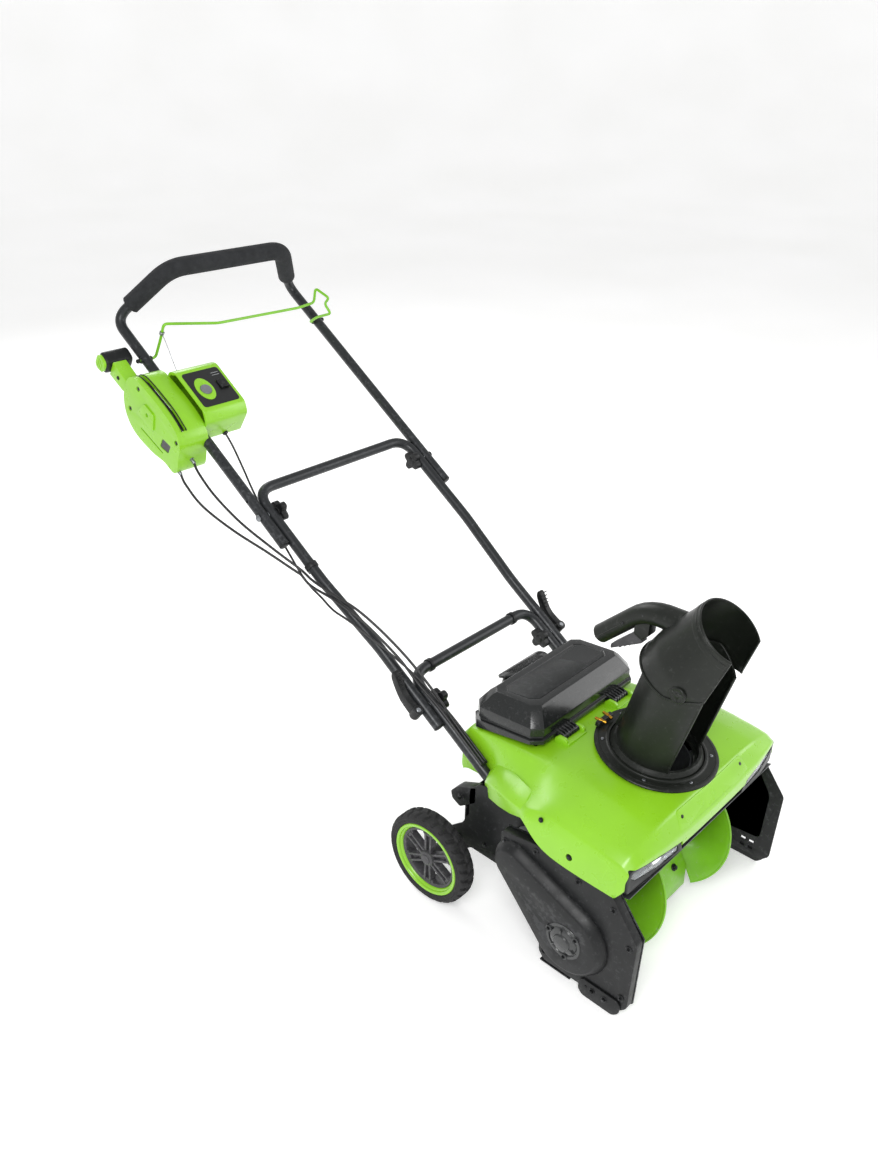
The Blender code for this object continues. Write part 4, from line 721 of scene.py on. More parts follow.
def build_hood():
    cuts = [placed(rod(0.09, -0.06, 0.06, "Z", steps=96), RING_FRAME)]
    cuts.append(block((-0.142, 0.142), (-0.136, -0.004), (0.3, 0.4)))
    screws = []
    for side in (-1, 1):
        cuts.append(headlight_bar(side, HEADLIGHT_NOTCH, -0.47, -0.415))
        for place, direction, radius in (((side * 0.1, -0.4205, 0.345), (0, -1, 0.61), 0.0036),
                ((side * 0.26, -0.24, 0.327), (side, 0, 0.35), 0.0048),
                ((side * 0.2645, -0.307, 0.288), (side, 0, 0.1), 0.0052)):
            well = rod(radius * 1.25, -0.004, 0.006, "Z", steps=24)
            cuts.append(placed(well, facing(place, direction)))
            seat = Vector(place) - Vector(direction).normalized() * 0.0022
            screws.append(screw(seat, direction, radius, "cross", 0.4 * side))
    piece("hood_shell", hood_skin(), "green_abs", "machine_body", ("hood",), sharp=38, cuts=cuts)
    steps = [-1 + number / 12 for number in range(25)]
    edge = [(0.12 * step, -0.017) for step in steps] + [(0.108 * step, 0.02) for step in reversed(steps)]
    slope = Matrix.Translation((0, -0.423, 0.3392)) @ Matrix.Rotation(math.radians(58.6), 4, "X")
    band = placed(prism(edge, -0.006, 0.0008, "Z"), slope)
    for vert in band.verts:
        vert.co.y += 0.15 * vert.co.x**2
    piece("hood_front_band", band, "green_abs", "machine_body", bevel=0.0012, segments=3, sharp=50)
    for name, side in (("right", -1), ("left", 1)):
        piece(f"hood_rib_{name}", hood_ear(side), "green_abs", "machine_body", bevel=0.0024, segments=4,
            sharp=50)
    piece("hood_screws", gathered(screws), "black_oxide", "machine_body")
    brackets = []
    for middle in (-0.08, 0.08):
        for side in (-1, 1):
            lug = [(-0.18, 0.366), (-0.18, 0.379), (-0.174, 0.384), (-0.16, 0.384), (-0.153, 0.377)]
            lug.append((-0.153, 0.366))
            brackets.append(prism(lug, middle + side * 0.0232, middle + side * 0.03))
        brackets.append(block((middle - 0.028, middle + 0.028), (-0.184, -0.17), (0.366, 0.3755)))
    piece("hinge_brackets", gathered(brackets), "green_abs", "machine_body", bevel=0.0012, segments=3)
    pins = [rod(0.0014, middle - 0.029, middle + 0.029, centre=(0, LID_HINGE_Y, LID_HINGE_Z),
        steps=16) for middle in (-0.08, 0.08)]
    piece("hinge_pins", gathered(pins), "zinc_plate", "machine_body")


def build_headlights():
    for name, side in (("right", -1), ("left", 1)):
        piece(f"headlight_frame_{name}", headlight_bar(side, HEADLIGHT_FRAME, -0.4315, -0.402),
            "textured_abs", "machine_body", (f"headlight_bezel_{name}",),
            cuts=[headlight_bar(side, HEADLIGHT_OPENING, -0.46, -0.414)], bevel=0.0014, segments=3)
        cover = headlight_bar(side, shrunk(HEADLIGHT_OPENING, 0.985), -0.43, -0.4284)
        piece(f"headlight_cover_{name}", cover, "clear_cover", "machine_body", (f"headlight_lens_{name}",),
            bevel=0.0005)
        bowls = []
        for number in range(3):
            x = 0.144 + number * 0.036
            profile = [(0.001, 0.0), (0.004, 0.003), (0.0062, 0.008), (0.0068, 0.008), (0.0046, 0.002),
                (0.001, -0.001)]
            bowl = placed(lathe(profile, 32, "Z"), Matrix.Diagonal((2.4, 1.0, 1, 1)))
            bowls.append(placed(bowl, facing((side * x, -0.42, 0.295 + number * 0.001), (0, -1, 0))))
        for number in range(22):
            x = 0.124 + number * 0.005
            bowls.append(block((side * x, side * (x + 0.001)), (-0.419, -0.415), (0.288, 0.304)))
        back = headlight_bar(side, shrunk(HEADLIGHT_OPENING, 0.985), -0.4165, -0.4142)
        piece(f"headlight_bowls_{name}", bowed(gathered(bowls)), "mirror_bowl", "machine_body")
        piece(f"headlight_back_{name}", back, "mirror_bowl", "machine_body")


# ---------------------------------------------------------------- lid


def lid_ring(inset, front_z, rear_z, corner):
    half_x = LID_HALF_X - inset
    front, rear = LID_FRONT_Y + inset, LID_REAR_Y - inset
    return [(-half_x + corner, front, front_z), (half_x - corner, front, front_z),
        (half_x, front + corner, front_z), (half_x, rear - corner, rear_z), (half_x - corner, rear, rear_z),
        (-half_x + corner, rear, rear_z), (-half_x, rear - corner, rear_z),
        (-half_x, front + corner, front_z)]


def build_lid():
    rim = [lid_ring(0.0, 0.3765, 0.352, 0.018), lid_ring(0.0, 0.385, 0.37, 0.018),
        lid_ring(0.0055, 0.3862, 0.3712, 0.018), lid_ring(0.0058, 0.3905, 0.376, 0.018),
        lid_ring(0.0035, 0.3912, 0.3768, 0.018), lid_ring(0.004, 0.408, 0.398, 0.018),
        lid_ring(0.02, 0.43, 0.4215, 0.015), lid_ring(0.029, 0.438, 0.43, 0.013),
        lid_ring(0.043, 0.4384, 0.4304, 0.012), lid_ring(0.044, 0.4372, 0.4292, 0.012)]
    inside = stacked([lid_ring(0.012, 0.34, 0.32, 0.014), lid_ring(0.012, 0.4, 0.39, 0.014)])
    knuckles = []
    for middle in (-0.08, 0.08):
        for number in range(6):
            x = middle - 0.02 + number * 0.008
            plate = [(-0.144, 0.379), (-0.144, 0.388), (-0.16, 0.3866), (-0.17, 0.3835), (-0.1722, 0.379)]
            plate += [(-0.17, 0.3752), (-0.162, 0.3745)]
            knuckles.append(prism(plate, x - 0.0013, x + 0.0013))
        knuckles.append(rod(0.0042, middle - 0.0212, middle + 0.0212, centre=(0, LID_HINGE_Y, LID_HINGE_Z),
            steps=20))
    piece("lid_shell", stacked(rim), "gloss_abs", "lid", ("battery_lid",), bevel=0.0026, segments=4,
        angle=14, cuts=[inside], sharp=50)
    top = stacked([lid_ring(0.045, 0.436, 0.428, 0.0118), lid_ring(0.045, 0.4378, 0.4298, 0.0118)])
    piece("lid_panel", top, "grained_abs", "lid", bevel=0.0006)
    piece("lid_knuckles", gathered(knuckles), "gloss_abs", "lid", bevel=0.0004, segments=1)
    tab = prism(eased([(0.0126, 0.369), (0.0126, 0.408), (0.016, 0.408), (0.02, 0.386), (0.02, 0.369)],
        0.0012), -0.056, 0.056)
    ribs = []
    for number in range(4):
        z = 0.376 + number * 0.007
        ribs.append(block((-0.05, 0.05), (0.017, 0.0212 - number * 0.0008), (z, z + 0.0022)))
    plate = [(-0.064, 0.027), (0.064, 0.027), (0.064, 0.008), (0.048, -0.018), (-0.048, -0.018),
        (-0.064, 0.008)]
    shelf = placed(prism(eased(plate, 0.009), -0.0022, 0.0022, "Z"),
        Matrix.Translation((0, 0.0, 0.415)) @ Matrix.Rotation(math.radians(-20), 4, "X"))
    for number in range(7):
        y = -0.0105 + number * 0.0046
        grip_rib = block((-0.044, 0.044), (y, y + 0.0016), (0.0018, 0.0034))
        ribs.append(placed(grip_rib, Matrix.Translation((0, 0.0, 0.415)) @ Matrix.Rotation(
            math.radians(-20), 4, "X")))
    piece("lid_catch", tab, "gloss_abs", "latch", ("lid_latch",), bevel=0.001, segments=3, joins=[shelf])
    piece("lid_catch_ribs", gathered(ribs), "gloss_abs", "latch", bevel=0.0005)


# ---------------------------------------------------------------- intake and belt case

PLATE_OUTLINE = [(-0.457, 0.188), (-0.455, 0.03), (-0.44, 0.014), (-0.276, 0.014), (-0.2625, 0.03),
    (-0.26, 0.068), (-0.208, 0.148), (-0.16, 0.226), (-0.16, 0.256), (-0.235, 0.27), (-0.4, 0.258)]


def build_intake():
    inner = arc((AUGER_Y, AUGER_Z), SCOOP_RADIUS, -96, 96, 60)
    outer = arc((AUGER_Y, AUGER_Z), SCOOP_RADIUS + 0.0025, -96, 96, 60)
    low, high = -DRIVE_WALL_X + 0.0003, PLATE_X - PLATE_T - 0.0004
    neck = placed(rod(0.0665, -0.15, -0.006, "Z", steps=64), RING_FRAME)
    bore = placed(rod(0.064, -0.2, 0.02, "Z", steps=64), RING_FRAME)
    inside = prism(arc((AUGER_Y, AUGER_Z), SCOOP_RADIUS - 0.0002, 0, 345, 60), low + 0.02, high - 0.02)
    outline = inner + [(-0.418, 0.251), (-0.418, 0.2535)] + outer[::-1]
    scoop = prism(outline, low, high)
    piece("intake_scoop", scoop, "black_powder_coat", "machine_body", ("auger_housing",), joins=[neck],
        cuts=[bore, inside], bevel=0.0006)
    hole = (0, AUGER_Y, AUGER_Z)
    slots = []
    for y in (-0.418, -0.4):
        for z in (0.028, 0.042):
            slots.append(block((0.25, 0.27), (y, y + 0.01), (z, z + 0.008)))
    window = [(-0.436, 0.18), (-0.434, 0.06), (-0.3, 0.048), (-0.246, 0.14), (-0.205, 0.205),
        (-0.24, 0.246), (-0.398, 0.236)]
    swage = prism(eased(shrunk(window, 0.98), 0.012), PLATE_X - 0.0012, PLATE_X + 0.02)
    swage_out = prism(eased(shrunk(window, 0.955), 0.012), PLATE_X - 0.003, PLATE_X - 0.0002)
    piece("intake_end_left", prism(eased(PLATE_OUTLINE, 0.006), PLATE_X - PLATE_T, PLATE_X),
        "black_powder_coat", "machine_body", ("side_plate_left",),
        joins=[rod(0.018, PLATE_X - 0.001, PLATE_X + 0.004, centre=hole, chamfer=0.001)],
        cuts=[swage, gathered(slots), rod(0.0086, 0.2, 0.3, centre=hole)], bevel=0.0006)
    piece("intake_end_left_field", swage_out, "black_powder_coat", "machine_body", bevel=0.001, segments=3)
    keep("side_plate_right", "black_powder_coat")
    bar = block((-0.257, 0.257), (-0.332, -0.264), (0.002, 0.005))
    holes = [rod(0.003, -0.01, 0.02, "Z", centre=(x, -0.276, 0)) for x in (-0.2, -0.1, 0.0, 0.1, 0.2)]
    piece("scraper_blade", bar, "black_powder_coat", "machine_body", ("scraper_bar",), bevel=0.0006,
        cuts=[gathered(holes)])
    bolts = []
    for x in (-0.2, -0.1, 0.0, 0.1, 0.2):
        bolts.append(screw((x, -0.292, 0.005), (0, 0, 1), 0.0055, "cross"))
    for side in (-1, 1):
        shoe = [(-0.442, 0.012), (-0.43, 0.0), (-0.366, 0.0), (-0.356, 0.01), (-0.356, 0.03)]
        shoe += [(-0.364, 0.04), (-0.436, 0.04), (-0.444, 0.032)]
        name = "right" if side < 0 else "left"
        plate = prism(eased(shoe, 0.005), side * (PLATE_X + 0.0004), side * 0.2664)
        piece(f"skid_{name}", plate, "textured_abs", "machine_body", (f"skid_shoe_{name}",), bevel=0.0012,
            segments=3)
        for y in (-0.412, -0.386):
            bolts.append(screw((side * 0.2662, y, 0.025), (side, 0, 0), 0.006, "hex", 0.3))
    for y, z in ((-0.44, 0.17), (-0.44, 0.06), (-0.18, 0.232), (-0.24, 0.258), (-0.39, 0.248)):
        bolts.append(screw((PLATE_X, y, z), (1, 0, 0), 0.0045, "cross"))
    piece("intake_bolts", gathered(bolts), "black_oxide", "machine_body")


def belt_outline(auger_radius, motor_radius, steps=30):
    """The outline round both pulleys, with straight runs between them."""
    dy, dz = MOTOR_Y - AUGER_Y, MOTOR_Z - AUGER_Z
    lean = math.degrees(math.atan2(dz, dy))
    spread = math.degrees(math.acos((auger_radius - motor_radius) / math.hypot(dy, dz)))
    big = arc((AUGER_Y, AUGER_Z), auger_radius, lean + spread, lean + 360 - spread, steps + 14)
    small = arc((MOTOR_Y, MOTOR_Z), motor_radius, lean - spread, lean + spread, steps)
    return big + small


def level(outline, x):
    return [(x, y, z) for y, z in outline]


def build_belt_case():
    face = -DRIVE_WALL_X - PLATE_T - 0.0004
    flange = [(-0.456, 0.186), (-0.454, 0.031), (-0.44, 0.0155), (-0.276, 0.0155)]
    flange += [(y, z) for y, z in PLATE_OUTLINE if y > -0.43 and z > 0.02]
    piece("belt_case_flange", prism(eased(flange, 0.006), -PLATE_X, face), "textured_abs", "machine_body",
        ("drive_cover",), bevel=0.0022, segments=3, cuts=[
        prism(belt_outline(0.0715, 0.034), -0.2775, face + 0.01)])
    dome = stacked([level(belt_outline(0.08, 0.043), -PLATE_X + 0.0005),
        level(belt_outline(0.0792, 0.0422), -PLATE_X - 0.003), level(belt_outline(0.0765, 0.0395), -0.27),
        level(belt_outline(0.069, 0.032), -0.2795), level(belt_outline(0.0672, 0.0302), -0.2808),
        level(belt_outline(0.065, 0.028), -0.2815)])
    hub = (0, AUGER_Y, AUGER_Z)
    piece("belt_case_dome", dome, "textured_abs", "machine_body", bevel=0.0012, segments=3, angle=20,
        sharp=50, cuts=[rod(0.033, -0.3, -0.279, centre=hub, steps=64),
        rod(0.0235, -0.3, -0.2, centre=hub)])
    cap = [(0, -0.29), (0.015, -0.29), (0.0165, -0.2885), (0.0172, -0.2862), (0.0215, -0.2852),
        (0.0265, -0.2832)]
    cap += [(0.0285, -0.2806), (0.03, -0.2806), (0.031, -0.2826), (0.036, -0.2826), (0.0366, -0.2816),
        (0.0366, -0.2806)]
    cap += [(0.023, -0.28), (0.023, -0.273), (0, -0.273)]
    ears = []
    screws = []
    for number in range(3):
        angle = math.radians(20 + 120 * number)
        y, z = AUGER_Y + 0.033 * math.cos(angle), AUGER_Z + 0.033 * math.sin(angle)
        ears.append(rod(0.0062, -0.285, -0.2806, centre=(0, y, z), chamfer=0.0008))
        screws.append(screw((-0.285, y, z), (-1, 0, 0), 0.004, "hex", angle))
        ribs = angle + math.radians(60)
        web = prism([(0.0185, -0.0012), (0.0275, -0.0012), (0.0275, 0.0012), (0.0185, 0.0012)], -0.2875,
            -0.283)
        ears.append(placed(web, Matrix.Translation(hub) @ Matrix.Rotation(ribs, 4, "X")))
    piece("bearing_cover", lathe(cap, 64, centre=hub), "gloss_abs", "machine_body", ("bearing_cap",),
        joins=ears, bevel=0.0004, segments=2)
    seats = []
    for y, z in ((-0.17, 0.238), (-0.238, 0.256), (-0.33, 0.247), (-0.404, 0.232), (-0.442, 0.17),
            (-0.441, 0.05), (-0.372, 0.026), (-0.274, 0.036), (-0.238, 0.116)):
        seats.append(rod(0.0066, -0.264, -0.261, centre=(0, y, z), chamfer=0.0008))
        screws.append(screw((-0.264, y, z), (-1, 0, 0), 0.0042, "hex", 0.2))
    piece("belt_case_bosses", gathered(seats), "textured_abs", "machine_body")
    piece("belt_case_screws", gathered(screws), "black_oxide", "machine_body")
    for node, finish in (
        ("motor", "motor_steel"), ("motor_pulley", "motor_steel"), ("auger_pulley", "textured_abs"),
        ("drive_belt", "cable_sheath"), ("battery", "textured_abs"), ("wheel_axle", "drawn_steel"),
    ):
        keep(node, finish)


def build_chassis():
    """The tray behind the intake, with its arms for the axle and its stiffening ribs."""
    side = [(-0.196, 0.112), (-0.05, 0.112), (-0.024, 0.084), (0.01, 0.08), (0.022, 0.092), (0.022, 0.118)]
    side += [(-0.026, 0.16), (-0.042, 0.192), (-0.042, 0.252), (-0.064, 0.276), (-0.11, 0.284),
        (-0.16, 0.302)]
    side += [(-0.208, 0.306), (-0.208, 0.16)]
    low, high = -0.21, 0.21
    tray = [prism(eased(side, 0.005), low - 0.003, low), prism(eased(side, 0.005), high, high + 0.003),
        block((low - 0.001, high + 0.001), (-0.196, -0.03), (0.112, 0.1155)),
        block((low - 0.001, high + 0.001), (-0.033, -0.03), (0.112, 0.236)),
        block((-0.14, 0.14), (-0.1345, -0.031), (0.114, 0.348))]
    cuts = [block((-0.137, 0.137), (-0.1315, -0.034), (0.158, 0.4)),
        rod(0.0435, -0.3, 0.3, centre=(0, MOTOR_Y, MOTOR_Z), steps=48),
        rod(0.0064, -0.3, 0.3, centre=(0, 0, WHEEL_Z))]
    piece("rear_tray", tray[0], "textured_abs", "machine_body", ("rear_chassis",), joins=tray[1:],
        cuts=cuts, bevel=0.0012, segments=2)
    ribs, bolts = [], []
    for x in (-0.18, -0.12, -0.06, 0.0, 0.06, 0.12, 0.18):
        ribs.append(block((x - 0.0012, x + 0.0012), (-0.0302, -0.024), (0.118, 0.232)))
    for side_x in (-1, 1):
        boss = rod(0.013, side_x * 0.2125, side_x * 0.22, centre=(0, 0, WHEEL_Z), chamfer=0.001)
        ribs.append(boss)
        foot = [(-0.056, 0.226), (-0.018, 0.196), (0.002, 0.206), (0.006, 0.222), (-0.01, 0.24),
            (-0.056, 0.262)]
        ribs.append(prism(eased(foot, 0.004), side_x * 0.1905, side_x * 0.213))
        bolts.append(screw((side_x * 0.213, -0.02, 0.222), (side_x, 0, 0), 0.007, "hex", 0.1))
        bolts.append(screw((side_x * 0.213, -0.15, 0.2), (side_x, 0, 0), 0.0055, "hex", 0.4))
        bolts.append(screw((side_x * 0.213, -0.085, 0.14), (side_x, 0, 0), 0.0055, "hex", 0.7))
    piece("tray_ribs", gathered(ribs), "textured_abs", "machine_body", bevel=0.0008)
    piece("tray_bolts", gathered(bolts), "black_oxide", "machine_body")


# ---------------------------------------------------------------- chute


def half_tube(radius, opening, wall, bottom, top, rows=20, columns=96):
    """A round wall open towards -Y by an angle each side. bottom and top give heights for an angle."""
    grids = []
    for reach in (radius, radius - wall):
        grid = []
        for row in range(rows + 1):
            points = []
            for column in range(columns + 1):
                angle = math.radians(-90 + opening + (360 - 2 * opening) * column / columns)
                low, high = bottom(angle), top(angle)
                points.append((reach * math.cos(angle), reach * math.sin(angle),
                    low + (high - low) * row / rows))
            grid.append(points)
        grids.append(grid)
    return shell(*grids)


def front_and_back(angle):
    """How far an angle lies to the front and to the back, each from 0 to 1."""
    return max(-math.sin(angle), 0), max(math.sin(angle), 0)


def chute_foot(angle):
    return 0.005 - 0.0096 * math.sin(angle)


def chute_top(angle):
    front, back = front_and_back(angle)
    return 0.222 - 0.038 * front - 0.022 * back


def deflector_foot(angle):
    front, back = front_and_back(angle)
    return -0.028 + 0.068 * front**1.2 - 0.016 * back


def deflector_mouth(angle):
    return 0.1 + 0.007 * math.sin(angle)


def drawn_in(bm):
    """The deflector's walls lean in towards its mouth."""
    for vert in bm.verts:
        share = min(max((vert.co.z - 0.01) / 0.092, 0), 1.1)
        vert.co.x *= 1 - 0.26 * share
        vert.co.y = vert.co.y * (1 - 0.26 * share) + 0.007 * share
    return bm


def edge_bead(radius, opening, wall, height, bead, frame_, steps=72):
    """A rolled edge that follows a half tube's rim at the height given for each angle."""
    path = []
    for step in range(steps + 1):
        angle = math.radians(-90 + opening + (360 - 2 * opening) * step / steps)
        reach = radius - wall / 2
        path.append((reach * math.cos(angle), reach * math.sin(angle), height(angle)))
    return tube(path, bead, 12, frame_)


def side_bead(radius, opening, wall, low, high, bead, side, frame_):
    angle = math.radians(-90 + side * opening)
    reach = radius - wall / 2
    x, y, foot, rise = reach * math.cos(angle), reach * math.sin(angle), low(angle), high(angle) - low(angle)
    return tube([(x, y, foot + rise * step / 10) for step in range(11)], bead, 12, frame_)


def build_chute_ring():
    ring = [(0.0872, 0.004), (0.0872, 0.0104), (0.0878, 0.011), (0.0896, 0.0112), (0.0912, 0.0108),
        (0.0922, 0.0098), (0.094, 0.0092), (0.0958, 0.009), (0.1056, 0.0087), (0.106, 0.0081),
        (0.1068, 0.0081), (0.1072, 0.0086)]
    ring += [(RING_RADIUS - 0.004, 0.0083), (RING_RADIUS - 0.0012, 0.0074), (RING_RADIUS, 0.006),
        (RING_RADIUS, 0.004)]
    screws, ferrules = [], []
    for degrees in (20, 75, 128, 200, 250, 305):
        angle = math.radians(degrees)
        place = RING_FRAME @ Vector((0.0992 * math.cos(angle), 0.0992 * math.sin(angle), 0.0088))
        screws.append(screw(place, RING_FRAME.to_3x3() @ Vector((0, 0, 1)), 0.0034, "cross", angle))
    sweep = arc((0, 0), 0.1016, 212, 236, 12) + arc((0, 0), 0.0972, 236, 212, 12)
    head = [(0.104 * math.cos(math.radians(236)), 0.104 * math.sin(math.radians(236)))]
    head.append((0.0994 * math.cos(math.radians(242)), 0.0994 * math.sin(math.radians(242))))
    head.append((0.095 * math.cos(math.radians(236)), 0.095 * math.sin(math.radians(236))))
    marks = [placed(prism(shape, 0.0084, 0.012, "Z"), RING_FRAME) for shape in (sweep, head)]
    piece("chute_flange", placed(lathe(ring, 128, "Z"), RING_FRAME), "chute_plastic", "machine_body",
        ("chute_ring",), cuts=marks, sharp=30)
    seat = lathe([(0.069, 0.001), (0.0905, 0.001), (0.0905, 0.0036), (0.0862, 0.0043), (0.069, 0.0043)], 96,
        "Z")
    piece("chute_seat", placed(seat, RING_FRAME), "chute_plastic", "machine_body", sharp=30)
    piece("chute_flange_screws", gathered(screws), "zinc_plate", "machine_body")
    for x, degrees in ((-0.03, 12), (-0.008, -6)):
        frame_ = RING_FRAME @ Matrix.Translation((x, 0.106, 0.017)) @ Matrix.Rotation(math.radians(degrees),
            4, "Z")
        nipple = [(0, -0.011), (0.0026, -0.011), (0.003, -0.009), (0.003, -0.002), (0.0042, -0.002),
            (0.0042, 0.003)]
        nipple += [(0.003, 0.003), (0.003, 0.01), (0.0024, 0.0115), (0, 0.0115)]
        ferrules.append(placed(lathe(nipple, 20, "Y"), frame_))
    piece("cable_ferrules", gathered(ferrules), "brass", "machine_body")
    hold = block((-0.042, 0.004), (0.1, 0.11), (0.0085, 0.019))
    piece("ferrule_bracket", placed(hold, RING_FRAME), "chute_plastic", "machine_body", bevel=0.002,
        segments=3)


def build_chute():
    wall = 0.003
    tube_wall = half_tube(CHUTE_RADIUS, 47, wall, chute_foot, chute_top)
    collar = [(0.0745, 0.0046), (0.0858, 0.0046), (0.0858, 0.0088), (0.0848, 0.0116), (0.0812, 0.016),
        (0.0794, 0.019)]
    collar += [(0.0745, 0.019)]
    beads = [side_bead(CHUTE_RADIUS, 47, wall, lambda a: 0.018, chute_top, 0.0027, side,
        CHUTE_FRAME) for side in (-1, 1)]
    beads.append(edge_bead(CHUTE_RADIUS, 47, wall, chute_top, 0.0021, CHUTE_FRAME))
    piece("chute_wall", placed(tube_wall, CHUTE_FRAME), "chute_plastic", "chute_tube", ("chute",))
    piece("chute_collar", placed(lathe(collar, 128, "Z"), RING_FRAME), "chute_plastic", "chute_tube",
        sharp=30)
    piece("chute_edges", gathered(beads), "chute_plastic", "chute_tube")
    rear = []
    for x in (-0.03, 0.03):
        angle = math.asin(x / CHUTE_RADIUS)
        foot = Vector((x, CHUTE_RADIUS * math.cos(angle) - 0.002, 0))
        fin = prism([(foot.y, 0.02), (foot.y + 0.01, 0.02), (foot.y + 0.006, 0.06), (foot.y, 0.075)],
            x - 0.0014, x + 0.0014)
        rear.append(placed(fin, CHUTE_FRAME))
    piece("chute_fins", gathered(rear), "chute_plastic", "chute_tube", bevel=0.0005)


def build_deflector():
    wall = 0.003
    hood_wall = half_tube(DEFLECTOR_RADIUS, 50, wall, deflector_foot, deflector_mouth)
    piece("deflector_wall", placed(drawn_in(hood_wall), DEFLECTOR_FRAME), "chute_plastic",
        "chute_deflector", ("deflector",))
    beads = [drawn_in(side_bead(DEFLECTOR_RADIUS, 50, wall, deflector_foot, deflector_mouth, 0.0026, side,
        None)) for side in (-1, 1)]
    beads.append(drawn_in(edge_bead(DEFLECTOR_RADIUS, 50, wall, deflector_mouth, 0.0026, None)))
    beads.append(drawn_in(edge_bead(DEFLECTOR_RADIUS + 0.0022, 50, wall, deflector_foot, 0.002, None)))
    band = drawn_in(half_tube(DEFLECTOR_RADIUS + 0.001, 53, 0.0038, lambda a: deflector_mouth(a) - 0.016,
        lambda a: deflector_mouth(a) - 0.006, 3))
    piece("deflector_edges", placed(gathered(beads), DEFLECTOR_FRAME), "chute_plastic", "chute_deflector")
    piece("deflector_band", placed(band, DEFLECTOR_FRAME), "chute_plastic", "chute_deflector", bevel=0.0008)
    for name, side in (("right", -1), ("left", 1)):
        x = DEFLECTOR_RADIUS
        boss = [(0, x - 0.002), (0.015, x - 0.002), (0.015, x + 0.0018), (0.014, x + 0.0028),
            (0.0122, x + 0.0032)]
        boss += [(0.0112, x + 0.0022), (0.005, x + 0.002), (0.0042, x + 0.003), (0, x + 0.003)]
        disc = lathe([(radius, side * along) for radius, along in boss], 48, centre=(0, DEFLECTOR_PIVOT.y, 0))
        prongs = []
        for number in range(3):
            arm = block((side * (x + 0.0005), side * (x + 0.0031)), (0.004, 0.0118), (-0.0012, 0.0012))
            prongs.append(placed(arm, Matrix.Translation((0, DEFLECTOR_PIVOT.y, 0)) @ Matrix.Rotation(
                math.tau * number / 3, 4, "X")))
        piece(f"deflector_pivot_{name}", placed(gathered([disc, *prongs]), DEFLECTOR_FRAME),
            "chute_plastic", "chute_deflector", bevel=0.0003, segments=1)
    grip_path = rounded(((0, -0.322, 0.64), (0, -0.246, 0.64), (0, -0.156, 0.553)), 0.045, 10)
    end = grip_path[-1] - (grip_path[-1] - grip_path[-2]).normalized() * 0.003
    path = [*grip_path[:-1], end, grip_path[-1]]
    radii = [0.0178 + 0.005 * max(1 - number / 6, 0) for number in range(len(path) - 1)] + [0.015]
    reach = DEFLECTOR_RADIUS - wall - 0.0004
    column = [(0, -0.06)] + [(reach, -0.06 + 0.0183 * number) for number in range(13)] + [(0, 0.16)]
    bore = placed(drawn_in(lathe(column, 64, "Z")), DEFLECTOR_FRAME)
    seam = tube([grip_path[4], grip_path[4] + Vector((0, 0.0018, 0))], 0.0192, 40)
    piece("deflector_grip", tube(path, radii, 40), "chute_plastic", "chute_deflector", joins=[seam],
        cuts=[bore], sharp=40)
    seam_line = tube([point + Vector((-0.0177, 0, 0)) for point in grip_path[5:]], 0.0006, 6)
    piece("grip_seam", seam_line, "cable_sheath", "chute_deflector")
    heads = [screw((-0.0178, -0.21, 0.605), (-1, 0, 0), 0.0032),
        screw((-0.0178, -0.248, 0.636), (-1, 0, 0), 0.0032)]
    piece("grip_screws", gathered(heads), "black_oxide", "chute_deflector")
    guard = [(-0.26, 0.625), (-0.244, 0.625), (-0.23, 0.606), (-0.23, 0.59), (-0.246, 0.583), (-0.26, 0.596)]
    piece("grip_root", prism(eased(guard, 0.003), -0.012, 0.012), "chute_plastic", "chute_deflector",
        cuts=[placed(drawn_in(lathe(column, 64, "Z")), DEFLECTOR_FRAME)], bevel=0.0015, segments=3)
    section = [(-0.242, 0.59), (-0.229, 0.5905), (-0.1855, 0.5485), (-0.186, 0.5395), (-0.214, 0.556),
        (-0.248, 0.576)]
    ribs = []
    for number in range(4):
        y = -0.232 + 0.0095 * number
        z = 0.5668 - 0.0062 * number
        ribs.append(rod(0.0011, -0.0065, 0.0065, centre=(0, y, z), steps=12))
    piece("tilt_trigger", prism(eased(section, 0.003), -0.0085, 0.0085), "grey_nylon", "trigger",
        ("deflector_trigger",), bevel=0.002, segments=3)
    piece("tilt_trigger_ribs", gathered(ribs), "grey_nylon", "trigger")


# ---------------------------------------------------------------- wheels and auger


